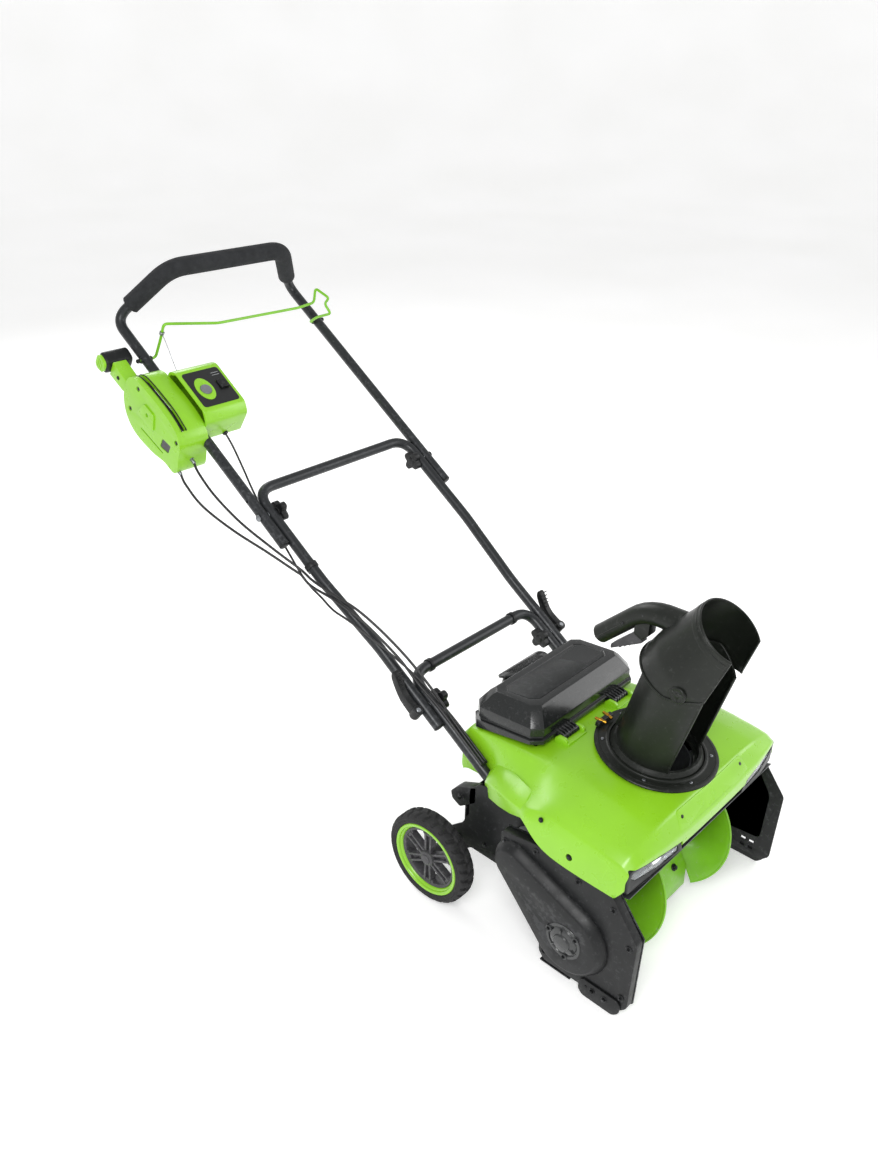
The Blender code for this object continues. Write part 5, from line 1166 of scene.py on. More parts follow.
def tyre_skin(side, lugs, depth):
    """The tyre, with two rows of staggered lugs pressed out of its tread."""
    outline = [(0.0783, 0.0042), (0.0815, 0.0018), (0.086, 0.0008), (0.0905, 0.0018), (0.0945, 0.0042),
        (0.0968, 0.0075), (0.0978, 0.011), (0.098, 0.016), (0.098, 0.022), (0.098, 0.028), (0.0978, 0.033),
        (0.0968, 0.0365), (0.0945, 0.0398), (0.0905, 0.0422), (0.086, 0.0432), (0.0815, 0.0422),
        (0.0783, 0.0398)]
    profile = [(p.x, p.y) for p in smooth_path([(r, x, 0) for r, x in outline], 4)]
    steps = lugs * 12
    middle = WHEEL_WIDTH / 2
    bm = bmesh.new()
    rings = []
    for step in range(steps):
        turn = math.tau * step / steps
        ring = []
        for radius, across in profile:
            tread = min(max((radius - 0.0925) / 0.0035, 0), 1)
            row = 0.5 if across > middle else 0.0
            phase = (step / 12 + row + abs(across - middle) / 0.06) % 1
            groove = min(max((abs(phase - 0.5) - 0.3) / 0.06, 0), 1)
            split = min(max((0.0022 - abs(across - middle)) / 0.0008, 0), 1)
            reach = radius - depth * tread * max(groove, split * 0.8)
            ring.append(bm.verts.new((side * (WHEEL_OUTER_X - across), reach * math.cos(turn),
                reach * math.sin(turn))))
        rings.append(ring)
    for ring, after in zip(rings, rings[1:] + rings[:1]):
        for k in range(len(profile)):
            j = (k + 1) % len(profile)
            bm.faces.new((ring[k], ring[j], after[j], after[k]))
    return placed(outward(bm), Matrix.Translation((0, 0, WHEEL_Z)))


def build_wheels(sizes):
    centre = (0, 0, WHEEL_Z)
    outer, inner = WHEEL_OUTER_X, WHEEL_OUTER_X - WHEEL_WIDTH
    for name, side in (("right", -1), ("left", 1)):
        body = f"{name}_wheel"
        piece(f"tyre_{name}", tyre_skin(side, sizes.tyre_lugs, sizes.lug_depth), "tyre_rubber", body,
            (f"wheel_tyre_{name}",), sharp=50)
        walls = []
        for radius in (0.0845, 0.0888):
            bead = [(radius - 0.0006, outer - 0.0012), (radius, outer - 0.0002),
                (radius + 0.0006, outer - 0.0012)]
            walls.append(lathe([(r, side * x) for r, x in bead], 96, centre=centre))
        piece(f"tyre_lines_{name}", gathered(walls), "tyre_rubber", body)
        rim = [(0.0664, outer - 0.011), (0.069, outer - 0.0072), (0.0705, outer - 0.0066),
            (0.0715, outer - 0.0034), (0.0726, outer - 0.0024), (0.0768, outer - 0.0022),
            (0.078, outer - 0.0034), (0.078, inner + 0.004), (0.0768, inner + 0.0028),
            (0.07, inner + 0.0034), (0.0672, inner + 0.006), (0.0664, inner + 0.009)]
        piece(f"rim_{name}", lathe([(r, side * x) for r, x in rim], 128, centre=centre), "green_abs", body,
            (f"wheel_rim_{name}",), sharp=40)
        barrel = [(0.0662, outer - 0.01), (0.0662, inner + 0.008), (0.059, inner + 0.008),
            (0.0585, outer - 0.019), (0.06, outer - 0.012), (0.063, outer - 0.0104)]
        boss = [(0, outer - 0.0022), (0.0085, outer - 0.0022), (0.0098, outer - 0.0032),
            (0.01, outer - 0.005), (0.014, outer - 0.0056), (0.0158, outer - 0.007), (0.0166, outer - 0.01),
            (0.0172, outer - 0.02), (0.015, inner + 0.008), (0.015, inner + 0.0005),
            (0.0066, inner + 0.0005), (0.0066, outer - 0.006), (0, outer - 0.006)]
        parts = [lathe([(r, side * x) for r, x in shape], 96, centre=centre) for shape in (barrel, boss)]
        for number in range(6):
            turn = Matrix.Translation(centre) @ Matrix.Rotation(math.radians(60 * number + 30), 4, "X")
            for row in (-1, 1):
                bar = [(0.014, row * 0.003), (0.06, row * 0.0052), (0.06, row * 0.0098),
                    (0.014, row * 0.0078)]
                parts.append(placed(prism(bar, side * (outer - 0.025), side * (outer - 0.0098)), turn))
            web = [(0.014, -0.004), (0.06, -0.006), (0.06, 0.006), (0.014, 0.004)]
            parts.append(placed(prism(web, side * (outer - 0.0225), side * (outer - 0.0165)), turn))
            foot = [(0.054, -0.012), (0.06, -0.015), (0.06, 0.015), (0.054, 0.012)]
            parts.append(placed(prism(foot, side * (outer - 0.022), side * (outer - 0.0112)), turn))
        piece(f"hub_{name}", gathered(parts), "grey_nylon", body, (f"wheel_hub_{name}",), bevel=0.0011,
            segments=3, sharp=45)


def flight_sheet(side, high, thickness):
    """One spiral blade, its rows from the shaft out, wound from the end to the middle."""
    low, steps = 0.088, 110
    rows, edge = [], []
    for step in range(steps + 1):
        share = step / steps
        angle = math.radians(-60 + 300 * share) * side
        x = side * (high - (high - low) * share)
        row = []
        for number in range(9):
            radius = 0.0225 + (AUGER_RADIUS - 0.0038 - 0.0225) * number / 8
            row.append((x, AUGER_Y + radius * math.cos(angle), AUGER_Z + radius * math.sin(angle)))
        rows.append(row)
        reach = AUGER_RADIUS - 0.0038
        middle = x - side * thickness * 0.5
        edge.append((middle, AUGER_Y + reach * math.cos(angle), AUGER_Z + reach * math.sin(angle)))
    return sheet(rows, thickness), tube(edge, 0.0024, 12)


def build_auger(sizes):
    centre = (0, AUGER_Y, AUGER_Z)
    keep("auger_shaft", "drawn_steel")
    bolts = []
    for name, side, high in (("right", -1, 0.233), ("left", 1, 0.25)):
        blade, edge = flight_sheet(side, high, sizes.flight_thickness)
        piece(f"auger_spiral_{name}", blade, "green_powder_coat", "auger", (f"auger_flight_{name}",),
            bevel=0.0006)
        ends = (side * 0.0855, side * (high + 0.0005))
        sleeve = [(0.0086, ends[0]), (0.0232, ends[0]), (0.024, ends[0] + side * 0.001),
            (0.024, ends[1] - side * 0.001)]
        sleeve += [(0.0232, ends[1]), (0.0086, ends[1])]
        weld = []
        for step in range(80):
            share = step / 79
            angle = math.radians(-60 + 300 * share) * side
            x = side * (high - (high - 0.088) * share)
            reach = 0.0246 + 0.0003 * math.sin(step * 1.9)
            weld.append((x, AUGER_Y + reach * math.cos(angle), AUGER_Z + reach * math.sin(angle)))
        parts = [lathe(sleeve, 64, centre=centre), edge, tube(weld, 0.0022, 10)]
        piece(f"auger_sleeve_{name}", gathered(parts), "green_powder_coat", "auger")
        for x in (ends[0] + side * 0.012,):
            bolts.append(screw((x, AUGER_Y, AUGER_Z + 0.0238), (0, 0, 1), 0.0065, "hex", 0.2))
            bolts.append(screw((x, AUGER_Y, AUGER_Z - 0.0238), (0, 0, -1), 0.0065, "hex", 0.2))
    hub = lathe([(0.0086, -0.084), (0.0232, -0.084), (0.024, -0.083), (0.024, 0.083), (0.0232, 0.084),
        (0.0086, 0.084)], 64, centre=centre)
    blades = []
    section = [(0.018, -0.01), (0.06, -0.016), (AUGER_RADIUS - 0.004, -0.0022), (AUGER_RADIUS, 0.0)]
    section += [(AUGER_RADIUS, 0.004), (AUGER_RADIUS - 0.006, 0.0026), (0.06, -0.011), (0.018, -0.004)]
    for turn in (248, 68):
        tilt = Matrix.Translation(centre) @ Matrix.Rotation(math.radians(turn), 4, "X")
        blades.append(placed(prism(section, -0.082, 0.082), tilt))
        straight = tilt.to_3x3()
        for x in (-0.046, 0.046):
            for y, z, up in ((0.042, -0.0079, Vector((0, 0.16, 1))),
                    (0.042, -0.0135, Vector((0, -0.14, -1)))):
                bolts.append(screw(tilt @ Vector((x, y, z)), straight @ up, 0.0075, "hex", 0.3))
    piece("auger_hub", hub, "green_powder_coat", "auger", ("auger_paddle",))
    piece("auger_blades", gathered(blades), "green_powder_coat", "auger", bevel=0.0012, segments=3)
    piece("auger_bolts", gathered(bolts), "black_oxide", "auger")


# ---------------------------------------------------------------- handle


def along(bm):
    """A mesh given as (x, up the handle, off the tube), put in place."""
    return placed(bm, HANDLE_FRAME)


def mirrored(half):
    return half + [(-x, s, v) for x, s, v in half[::-1]]


def handle_bar(name, corners, radius, body, node, holes=(), size=0.011):
    path = rounded(mirrored(corners), radius, 14)
    cuts = []
    for x, s in holes:
        for side in (-1, 1):
            cuts.append(along(rod(0.0036, side * x - 0.03, side * x + 0.03, centre=(0, s, 0), steps=20)))
    piece(name, tube(path, size, 40, HANDLE_FRAME), "tube_coat", body, (node,), cuts=cuts, sharp=50)


def end_plug(x, s, down, radius):
    """A domed plastic plug in a tube's open end."""
    profile = [(0, -0.004), (radius - 0.0012, -0.004), (radius - 0.0012, 0.0), (radius + 0.0003, 0.0),
        (radius + 0.0003, 0.0016)]
    profile += [(radius - 0.0014, 0.0036), (radius * 0.5, 0.0046), (0, 0.0048)]
    turned = lathe([(r, down * a) for r, a in profile], 36, "Y")
    return along(placed(turned, Matrix.Translation((x, s, 0))))


def tube_clip(x, s, tilt, radius):
    """A moulded clip round a tube, with a lug that holds the cables."""
    ring = [(radius, -0.006), (radius + 0.0022, -0.006), (radius + 0.0026, -0.005), (radius + 0.0026, 0.005)]
    ring += [(radius + 0.0022, 0.006), (radius, 0.006)]
    collar = lathe(ring, 36, "Y")
    lug = block((radius + 0.0005, radius + 0.0105), (-0.0055, 0.0055), (-0.006, 0.006))
    ear = rod(0.0036, -0.0056, 0.0056, "Y", (radius + 0.009, 0, 0), 20)
    spun = placed(gathered([collar, lug, ear]), Matrix.Translation((x, s, 0)) @ Matrix.Rotation(tilt, 4, "Y"))
    return along(spun)


def build_handles(sizes):
    tube_radius = sizes.tube_radius
    lower = [(-LOWER_LEG_X, -0.205, 0), (-LOWER_LEG_X, 0.0686, 0)]
    mid = [(-MID_LEG_LOW_X, -0.045, 0), (-MID_LEG_LOW_X, 0.15, 0), (-MID_LEG_LOW_X - 0.003, 0.185, 0),
        (-MID_LEG_TOP_X + 0.003, 0.285, 0), (-MID_LEG_TOP_X, 0.32, 0), (-MID_LEG_TOP_X, 0.561, 0)]
    shoulder, corner = (-UPPER_LEG_X, 1.06, 0), (-0.15, 1.044, 0.138)
    upper = [(-UPPER_LEG_X, 0.428, 0), shoulder, corner]
    handle_bar("lower_tube", lower, 0.04, "machine_body", "lower_handle", [(LOWER_LEG_X, 0.0)], tube_radius)
    handle_bar("middle_tube", mid, 0.045, "mid_frame", "mid_handle",
        [(MID_LEG_LOW_X, 0.0), (MID_LEG_TOP_X, UPPER_FOLD_S)], tube_radius)
    spare = [(UPPER_LEG_X, UPPER_FOLD_S), (UPPER_LEG_X, 0.545)]
    handle_bar("upper_tube", upper, 0.036, "upper_frame", "upper_handle", spare, tube_radius)
    for body, name, plugs in (
        ("mid_frame", "middle_tube_plugs", [(side * MID_LEG_LOW_X, -0.0452, -1) for side in (-1, 1)]),
        ("upper_frame", "upper_tube_plugs", [(side * UPPER_LEG_X, 0.4278, -1) for side in (-1, 1)]),
    ):
        made = [end_plug(x, s, down, tube_radius) for x, s, down in plugs]
        piece(name, gathered(made), "textured_abs", body, bevel=0.0003, segments=1)
    foot = Vector(shoulder).lerp(Vector(corner), 0.27)
    path = rounded(mirrored([tuple(foot), corner]), 0.036, 16)
    first = path[0] + (path[1] - path[0]).normalized() * 0.0022
    last = path[-1] + (path[-2] - path[-1]).normalized() * 0.0022
    path = [path[0], first, *path[1:-1], last, path[-1]]
    radii = [sizes.foam_radius - 0.0022] + [sizes.foam_radius] * (len(path) - 2) + [
        sizes.foam_radius - 0.0022]
    piece("foam_sleeve", tube(path, radii, 56, HANDLE_FRAME), "cell_foam", "upper_frame", ("foam_grip",),
        sharp=60)
    clips = [tube_clip(side * MID_LEG_TOP_X, 0.362, math.radians(90 if side > 0 else 75),
        tube_radius) for side in (-1,)]
    piece("middle_tube_clip", gathered(clips), "textured_abs", "mid_frame", bevel=0.0006)
    cross = []
    for x in (-0.128, 0.128):
        ring = [(tube_radius, -0.005), (tube_radius + 0.0024, -0.005), (tube_radius + 0.0024, 0.005),
            (tube_radius, 0.005)]
        cross.append(along(lathe(ring, 36, "X", (x, 0.0686, 0))))
    piece("lower_tube_clips", gathered(cross), "textured_abs", "machine_body", bevel=0.0006)


def star_outline(radius, lobes, depth, fineness=18):
    points = []
    for i in range(lobes * fineness):
        angle = math.tau * i / (lobes * fineness)
        reach = radius - depth * (0.5 - 0.5 * math.cos(lobes * angle)) ** 1.5
        points.append((reach * math.cos(angle), reach * math.sin(angle)))
    return points


def build_knobs(sizes):
    radius = sizes.tube_radius
    for level_, frame_, inner_x, outer_x in (("lower", HANDLE_FRAME, LOWER_LEG_X, MID_LEG_LOW_X),
            ("upper", UPPER_FOLD_FRAME, MID_LEG_TOP_X, UPPER_LEG_X)):
        for name, side in (("right", -1), ("left", 1)):
            face = inner_x - radius - 0.001
            far = outer_x + radius + 0.0012
            lobes = prism(star_outline(0.0225, 4, 0.0085), side * (face - 0.015), side * (face - 0.0022))
            cap = [(0, face - 0.0175), (0.0075, face - 0.017), (0.0098, face - 0.0148),
                (0.0098, face - 0.01), (0, face - 0.01)]
            crown = lathe([(r, side * x) for r, x in cap], 32)
            collar = rod(0.0085, side * (face - 0.004), side * face, steps=32, chamfer=0.0006)
            piece(f"star_knob_{level_}_{name}", placed(gathered([lobes, crown, collar]), frame_),
                "textured_abs", f"{level_}_knob_{name}", (f"{level_}_star_knob_{name}",), bevel=0.0022,
                segments=4, sharp=50)
            stud = rod(0.003, side * (face - 0.003), side * (far + 0.0004), steps=20)
            parts = [stud, rod(0.007, side * (inner_x + radius + 0.0002), side * (inner_x + radius + 0.001),
                steps=28)]
            if level_ == "upper":
                dome = [(0, far + 0.0042), (0.004, far + 0.0036), (0.0068, far + 0.0018),
                    (0.0075, far - 0.0002), (0, far - 0.0002)]
                parts.append(lathe([(r, side * x) for r, x in dome], 32))
            piece(f"stud_{level_}_{name}", placed(gathered(parts), frame_), "zinc_plate",
                f"{level_}_knob_{name}")
    boss_x = MID_LEG_LOW_X + radius + 0.0119
    for name, side in (("right", -1), ("left", 1)):
        boss = rod(0.0105, -0.012, 0.012, "Z", centre=(side * boss_x, 0, 0), steps=40, chamfer=0.0014)
        section = [(-0.004, -0.009), (0.03, -0.0098), (0.046, -0.006), (0.062, 0.001), (0.08, 0.012),
            (0.0862, 0.022), (0.084, 0.0256), (0.078, 0.0262), (0.06, 0.0172), (0.035, 0.0084),
            (-0.004, 0.009)]
        arm = prism(smooth_outline(section), side * (boss_x - 0.007), side * (boss_x + 0.007))
        piece(f"cam_handle_{name}", placed(gathered([boss, arm]), HANDLE_FRAME), "textured_abs",
            f"lever_{name}", (f"cam_lever_{name}",), bevel=0.0016, segments=4, sharp=50)
        ribs = []
        for number in range(5):
            s = 0.05 + 0.0064 * number
            v = 0.0135 + 0.0052 * number
            rib = block((side * (boss_x - 0.0052), side * (boss_x + 0.0052)), (-0.001, 0.001),
                (-0.0015, 0.001))
            lean = Matrix.Translation((0, s, v)) @ Matrix.Rotation(math.radians(30), 4, "X")
            ribs.append(along(placed(rib, lean)))
        pin = [(0, 0.0128), (0.0042, 0.0128), (0.005, 0.0122), (0.005, -0.0122), (0.0042, -0.0128),
            (0, -0.0128)]
        piece(f"cam_ribs_{name}", gathered(ribs), "textured_abs", f"lever_{name}", bevel=0.0004, segments=2)
        piece(f"cam_pin_{name}", along(lathe(pin, 28, "Z", (side * boss_x, 0, 0))), "zinc_plate",
            f"lever_{name}")


def smooth_outline(points, per_span=5):
    """A closed outline with soft curves through its points."""
    held = [Vector(point) for point in points]
    made = []
    for i in range(len(held)):
        a, b, c, d = held[i - 1], held[i], held[(i + 1) % len(held)], held[(i + 2) % len(held)]
        for k in range(per_span):
            t = k / per_span
            bend = (2 * a - 5 * b + 4 * c - d) * t**2 + (3 * b - a - 3 * c + d) * t**3
            made.append(tuple((2 * b + (c - a) * t + bend) / 2))
    return made


# ---------------------------------------------------------------- control box

DRUM_OUTLINE = [(0.098, -0.004), (0.09, 0.018), (0.062, 0.03), (-0.02, 0.036), (-0.07, 0.03),
    (-0.096, 0.012), (-0.104, -0.02), (-0.112, -0.046), (-0.104, -0.062), (-0.07, -0.066), (-0.03, -0.08),
    (0.03, -0.088), (0.07, -0.074), (0.094, -0.042)]
PANEL_OUTLINE = [(0.066, -0.022), (0.066, 0.038), (0.05, 0.052), (-0.06, 0.052), (-0.078, 0.036),
    (-0.078, -0.022), (-0.04, -0.034), (0.04, -0.034)]
JOYSTICK_X, JOYSTICK_V = -0.28825, -0.025
BUTTON = (-0.199, -0.01)


def boxed(bm):
    return placed(bm, BOX_FRAME)


def ellipse(middle, reach_x, reach_s, steps=56):
    return [(middle[0] + reach_x * math.cos(math.tau * i / steps),
        middle[1] + reach_s * math.sin(math.tau * i / steps)) for i in range(steps)]


def build_control_box():
    split, face = -UPPER_LEG_X, -0.308
    channel = [boxed(rod(0.0113, -0.2, 0.2, "Y", centre=(split, 0, 0), steps=40)) for _ in range(2)]
    slot = prism([(0.112, 0.06), (0.112, -0.04), (-0.075, -0.04), (-0.075, 0.06)], -0.292, -0.2845)
    low_slot = prism(eased([(-0.06, -0.052), (0.02, -0.062), (0.02, -0.0585), (-0.06, -0.0485)], 0.0015),
        face - 0.01, -0.3)
    hollow = prism(shrunk(DRUM_OUTLINE, 0.93), -0.3045, split + 0.01)
    window = prism(eased([(-0.074, -0.036), (-0.046, -0.044), (-0.046, -0.02), (-0.074, -0.014)], 0.004),
        face - 0.01, face + 0.0018)
    pockets = [rod(0.0058, face - 0.01, face + 0.0026, centre=(0, s, v), steps=28) for s,
        v in ((0.066, -0.05), (-0.084, 0.008), (0.06, 0.014))]
    piece("control_drum", boxed(prism(smooth_outline(DRUM_OUTLINE, 6), face, split - 0.0003)), "green_abs",
        "upper_frame", ("control_box_outer",), bevel=0.0075, segments=6, sharp=60, angle=50,
        cuts=[boxed(hollow), boxed(slot), channel[0], boxed(low_slot), boxed(window),
        *[boxed(p) for p in pockets]])
    raised = [(-0.018, -0.03), (0.044, -0.036), (0.03, 0.004), (-0.006, 0.006)]
    boss_hole = rod(0.0042, face - 0.02, face + 0.01, centre=(0, 0.012, -0.012), steps=28)
    piece("drum_boss", boxed(prism(eased(raised, 0.006), face - 0.0032, face + 0.001)), "green_abs",
        "upper_frame", bevel=0.0022, segments=4, cuts=[boxed(boss_hole)])
    rail = []
    for x in (-0.2938, -0.2834):
        lip = [(0.096, 0.004), (0.088, 0.0195), (0.062, 0.0312), (-0.02, 0.0372), (-0.07, 0.0312),
            (-0.074, 0.029)]
        path = [(x, s, v) for s, v in lip]
        rail.append(boxed(tube(smooth_path(path, 8), 0.0013, 10)))
    piece("drum_slot_lips", gathered(rail), "textured_abs", "upper_frame")
    brush = boxed(prism([(0.088, 0.01), (0.06, 0.024), (-0.02, 0.03), (-0.07, 0.025), (-0.07, 0.02),
        (0.08, 0.004)], -0.285, -0.2835))
    liner = boxed(prism(eased(shrunk([(-0.074, -0.036), (-0.046, -0.044), (-0.046, -0.02),
        (-0.074, -0.014)], 0.96), 0.004), face + 0.0012, face + 0.0022))
    piece("drum_window", gathered([liner]), "gloss_abs", "upper_frame")
    piece("drum_slot_floor", brush, "cable_sheath", "upper_frame")
    heads = [screw((face + 0.0024, s, v), (-1, 0, 0), 0.004) for s,
        v in ((0.066, -0.05), (-0.084, 0.008), (0.06, 0.014))]
    heads.append(screw((face + 0.002, 0.012, -0.012), (-1, 0, 0), 0.0036))
    piece("control_box_screws", boxed(gathered(heads)), "black_oxide", "upper_frame")
    inner_hollow = prism(shrunk(PANEL_OUTLINE, 0.9), split - 0.01, -0.137)
    well = rod(0.0125, 0.04, 0.07, "Z", centre=(*BUTTON, 0), steps=48)
    pocket = block((-0.166, -0.144), (-0.018, 0.006), (0.04, 0.07))
    piece("switch_case", boxed(prism(eased(PANEL_OUTLINE, 0.008), split + 0.0003, -0.133)), "green_abs",
        "upper_frame", ("control_box_inner",), bevel=0.006, segments=5, sharp=60,
        cuts=[boxed(inner_hollow), channel[1], boxed(well), boxed(pocket)])
    film = prism(eased([(-0.229, -0.052), (-0.14, -0.052), (-0.14, 0.04), (-0.229, 0.04)], 0.008), 0.0519,
        0.0527, "Z")
    oval = prism(ellipse((BUTTON[0] - 0.001, BUTTON[1] + 0.002), 0.0195, 0.029), 0.0524, 0.0536, "Z")
    openings = [rod(0.0126, 0.04, 0.07, "Z", centre=(*BUTTON, 0), steps=48) for _ in range(2)]
    gap = block((-0.1662, -0.1438), (-0.0182, 0.0062), (0.04, 0.07))
    piece("panel_sheet", boxed(film), "panel_film", "upper_frame", cuts=[boxed(openings[0]), boxed(gap)])
    piece("panel_oval", boxed(oval), "green_abs", "upper_frame", cuts=[boxed(openings[1])], bevel=0.0004)
    marks = []
    for s in (0.02, 0.026):
        marks.append(boxed(block((-0.164, -0.146), (s, s + 0.001), (0.0526, 0.0529))))
    piece("panel_marks", gathered(marks), "pale_print", "upper_frame")
    cap = [(0, 0.044), (0.012, 0.044), (0.012, 0.0548), (0.0112, 0.056), (0.0096, 0.0562), (0.0084, 0.0556),
        (0, 0.0552)]
    piece("start_cap", boxed(lathe(cap, 56, "Z", (*BUTTON, 0))), "button_plastic", "button",
        ("start_button",), sharp=40)
    section = [(-0.0172, 0.048), (-0.0172, 0.059), (-0.006, 0.056), (0.0052, 0.0562), (0.0052, 0.048),
        (-0.006, 0.042)]
    piece("light_rocker", boxed(prism(section, -0.1652, -0.1448)), "textured_abs", "rocker",
        ("rocker_switch",), bevel=0.001, segments=3)
    wire_boss = [(0, -0.081), (0.005, -0.081), (0.006, -0.08), (0.0064, -0.072), (0, -0.072)]
    piece("wire_boss", boxed(lathe(wire_boss, 32, "Y", (-0.175, 0, -0.015))), "textured_abs", "upper_frame")
    ends = []
    for x, v in ((-0.299, -0.056), (-0.274, -0.03)):
        nipple = [(0, -0.118), (0.003, -0.118), (0.0038, -0.116), (0.0038, -0.108), (0.005, -0.108),
            (0.005, -0.102)]
        nipple += [(0.0036, -0.102), (0.0036, -0.09), (0, -0.09)]
        ends.append(boxed(lathe(nipple, 24, "Y", (x, 0, v))))
    piece("drum_ferrules", gathered(ends), "zinc_plate", "upper_frame")


def build_joystick():
    stalk = rod(0.003, -0.006, 0.106, "Y", centre=(JOYSTICK_X, 0, JOYSTICK_V), steps=24)
    piece("joystick_stalk", boxed(stalk), "grey_nylon", "joystick_swing_part", ("joystick_lever",))
    housing = [(0.096, -0.035), (0.096, -0.015), (0.106, -0.009), (0.156, -0.007), (0.156, -0.043),
        (0.106, -0.041)]
    piece("joystick_shank", boxed(prism(eased(housing, 0.003), -0.304, -0.2725)), "green_abs",
        "joystick_swing_part", bevel=0.004, segments=5, angle=40)
    head = screw((-0.304, 0.128, -0.025), (-1, 0, 0), 0.0042)
    piece("joystick_screw", boxed(head), "black_oxide", "joystick_swing_part")
    section = [(0.1564, -0.036), (0.1564, -0.014), (0.166, -0.007), (0.184, -0.006), (0.19, -0.015),
        (0.19, -0.035), (0.182, -0.044), (0.166, -0.043)]
    piece("joystick_handle", boxed(prism(smooth_outline(section, 5), -0.315, -0.252)), "textured_abs",
        "joystick_twist_part", ("joystick_grip",), bevel=0.006, segments=6, angle=50, sharp=60)
    cap = boxed(prism(smooth_outline(shrunk(section, 0.82), 5), -0.32, -0.314))
    grooves = [boxed(block((-0.322, -0.3188), (s, s + 0.0024), (-0.036, -0.014))) for s in (0.166, 0.1716,
        0.1772)]
    piece("joystick_cap", cap, "green_abs", "joystick_twist_part", bevel=0.0016, segments=3, angle=50,
        cuts=grooves)


def build_bail():
    x, s = UPPER_LEG_X, BAIL_S
    path = [(-x - 0.02, s, 0), (-x + 0.024, s, 0), (-x + 0.026, s + 0.004, 0.05),
        (-x + 0.028, s + 0.01, 0.086), (-0.095, s - 0.02, 0.09), (0.15, s - 0.004, 0.064),
        (0.2, s + 0.0, 0.066), (0.204, s + 0.016, 0.094), (0.21, s - 0.026, 0.102),
        (0.212, s - 0.02, 0.078), (0.214, s - 0.046, 0.072), (0.214, s - 0.014, 0.03), (x - 0.022, s, 0),
        (x + 0.018, s, 0)]
    piece("bail_wire", tube(rounded(path, 0.009, 10), 0.003, 20, HANDLE_FRAME), "green_powder_coat", "bail",
        ("bail_bar",))
    caps = []
    for x_end, side in ((-x - 0.0195, -1), (x + 0.0175, 1)):
        cap = [(0, 0.003), (0.003, 0.0028), (0.0044, 0.0014), (0.0046, -0.004), (0, -0.004)]
        caps.append(along(lathe([(r, side * a) for r, a in cap], 24, "X", (x_end, s, 0))))
    piece("bail_end_caps", gathered(caps), "textured_abs", "bail")
    bushes = []
    for side in (-1, 1):
        bush = [(0.0033, -0.0135), (0.0058, -0.0135), (0.0062, -0.012), (0.0062, 0.012), (0.0058, 0.0135),
            (0.0033, 0.0135)]
        bushes.append(along(lathe(bush, 28, "X", (side * x, s, 0))))
    piece("bail_bushes", gathered(bushes), "textured_abs", "upper_frame")
    top, foot = Vector((-x + 0.0266, s + 0.006, 0.064)), Vector((-0.218, BOX_S + 0.06, 0.034))
    wire = [top, top.lerp(foot, 0.33) + Vector((0, 0, 0.001)), top.lerp(foot, 0.66), foot]
    line = raw("bail_cable", tube(smooth_path(wire, 8), 0.0009, 10, HANDLE_FRAME))
    dress(line, "drawn_steel")
    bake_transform(line)
    clamp = along(rod(0.0052, -0.0035, 0.0035, "Z", centre=(top.x, top.y, top.z), steps=28, chamfer=0.0008))
    piece("bail_clamp", clamp, "zinc_plate", "bail")
    socket = [(0, 0.0), (0.0045, 0.0), (0.005, 0.001), (0.004, 0.01), (0.0018, 0.012), (0, 0.012)]
    aim = facing(foot - (top - foot).normalized() * 0.01, top - foot)
    piece("bail_cable_socket", along(placed(lathe(socket, 24, "Z"), aim)), "textured_abs", "upper_frame")


def dress(obj, finish):
    obj.data.shade_smooth()
    obj.data.materials.clear()
    obj.data.materials.append(look(finish))


# Each cable's route as (x, up the handle, off the tube), down to the clip at the upper fold and on
# from there into the hood.
UPPER_RUNS = {
    "turn_cable_upper": [
        (-0.299, 0.687, -0.056), (-0.302, 0.66, -0.06), (-0.301, 0.6, -0.058), (-0.286, 0.52, -0.044),
        (-0.262, 0.44, -0.028), (-0.242, 0.38, -0.02), (-0.236, 0.362, -0.017),
    ],
    "tilt_cable_upper": [
        (-0.274, 0.688, -0.03), (-0.278, 0.66, -0.033), (-0.279, 0.6, -0.033), (-0.272, 0.52, -0.026),
        (-0.256, 0.44, -0.015), (-0.24, 0.38, -0.008), (-0.2345, 0.362, -0.007),
    ],
    "switch_wire_upper": [
        (-0.175, 0.723, -0.015), (-0.174, 0.69, -0.024), (-0.18, 0.64, -0.033), (-0.195, 0.58, -0.033),
        (-0.208, 0.52, -0.03), (-0.218, 0.44, -0.027), (-0.226, 0.39, -0.025), (-0.229, 0.362, -0.025),
    ],
}
LOWER_RUNS = {
    "turn_cable_lower": [
        (-0.236, 0.361, -0.017), (-0.234, 0.33, -0.015), (-0.228, 0.28, 0.007), (-0.22, 0.23, 0.022),
        (-0.209, 0.17, 0.026), (-0.2, 0.1, 0.027), (-0.196, 0.04, 0.022), (-0.19, -0.01, 0.02),
        (-0.187, -0.06, 0.017), (-0.1865, -0.155, 0.015),
    ],
    "tilt_cable_lower": [
        (-0.2345, 0.361, -0.007), (-0.233, 0.33, 0.0), (-0.226, 0.28, 0.017), (-0.215, 0.23, 0.032),
        (-0.202, 0.17, 0.036), (-0.192, 0.1, 0.037), (-0.186, 0.04, 0.033), (-0.1815, -0.01, 0.026),
        (-0.1795, -0.06, 0.018), (-0.1795, -0.155, 0.015),
    ],
    "switch_wire_lower": [
        (-0.229, 0.361, -0.025), (-0.229, 0.33, -0.024), (-0.227, 0.3, -0.02), (-0.234, 0.26, -0.004),
        (-0.229, 0.22, 0.01), (-0.216, 0.17, 0.015), (-0.202, 0.12, 0.0175), (-0.188, 0.06, 0.019),
        (-0.179, 0.0, 0.017), (-0.1735, -0.05, 0.016), (-0.173, -0.155, 0.015),
    ],
}


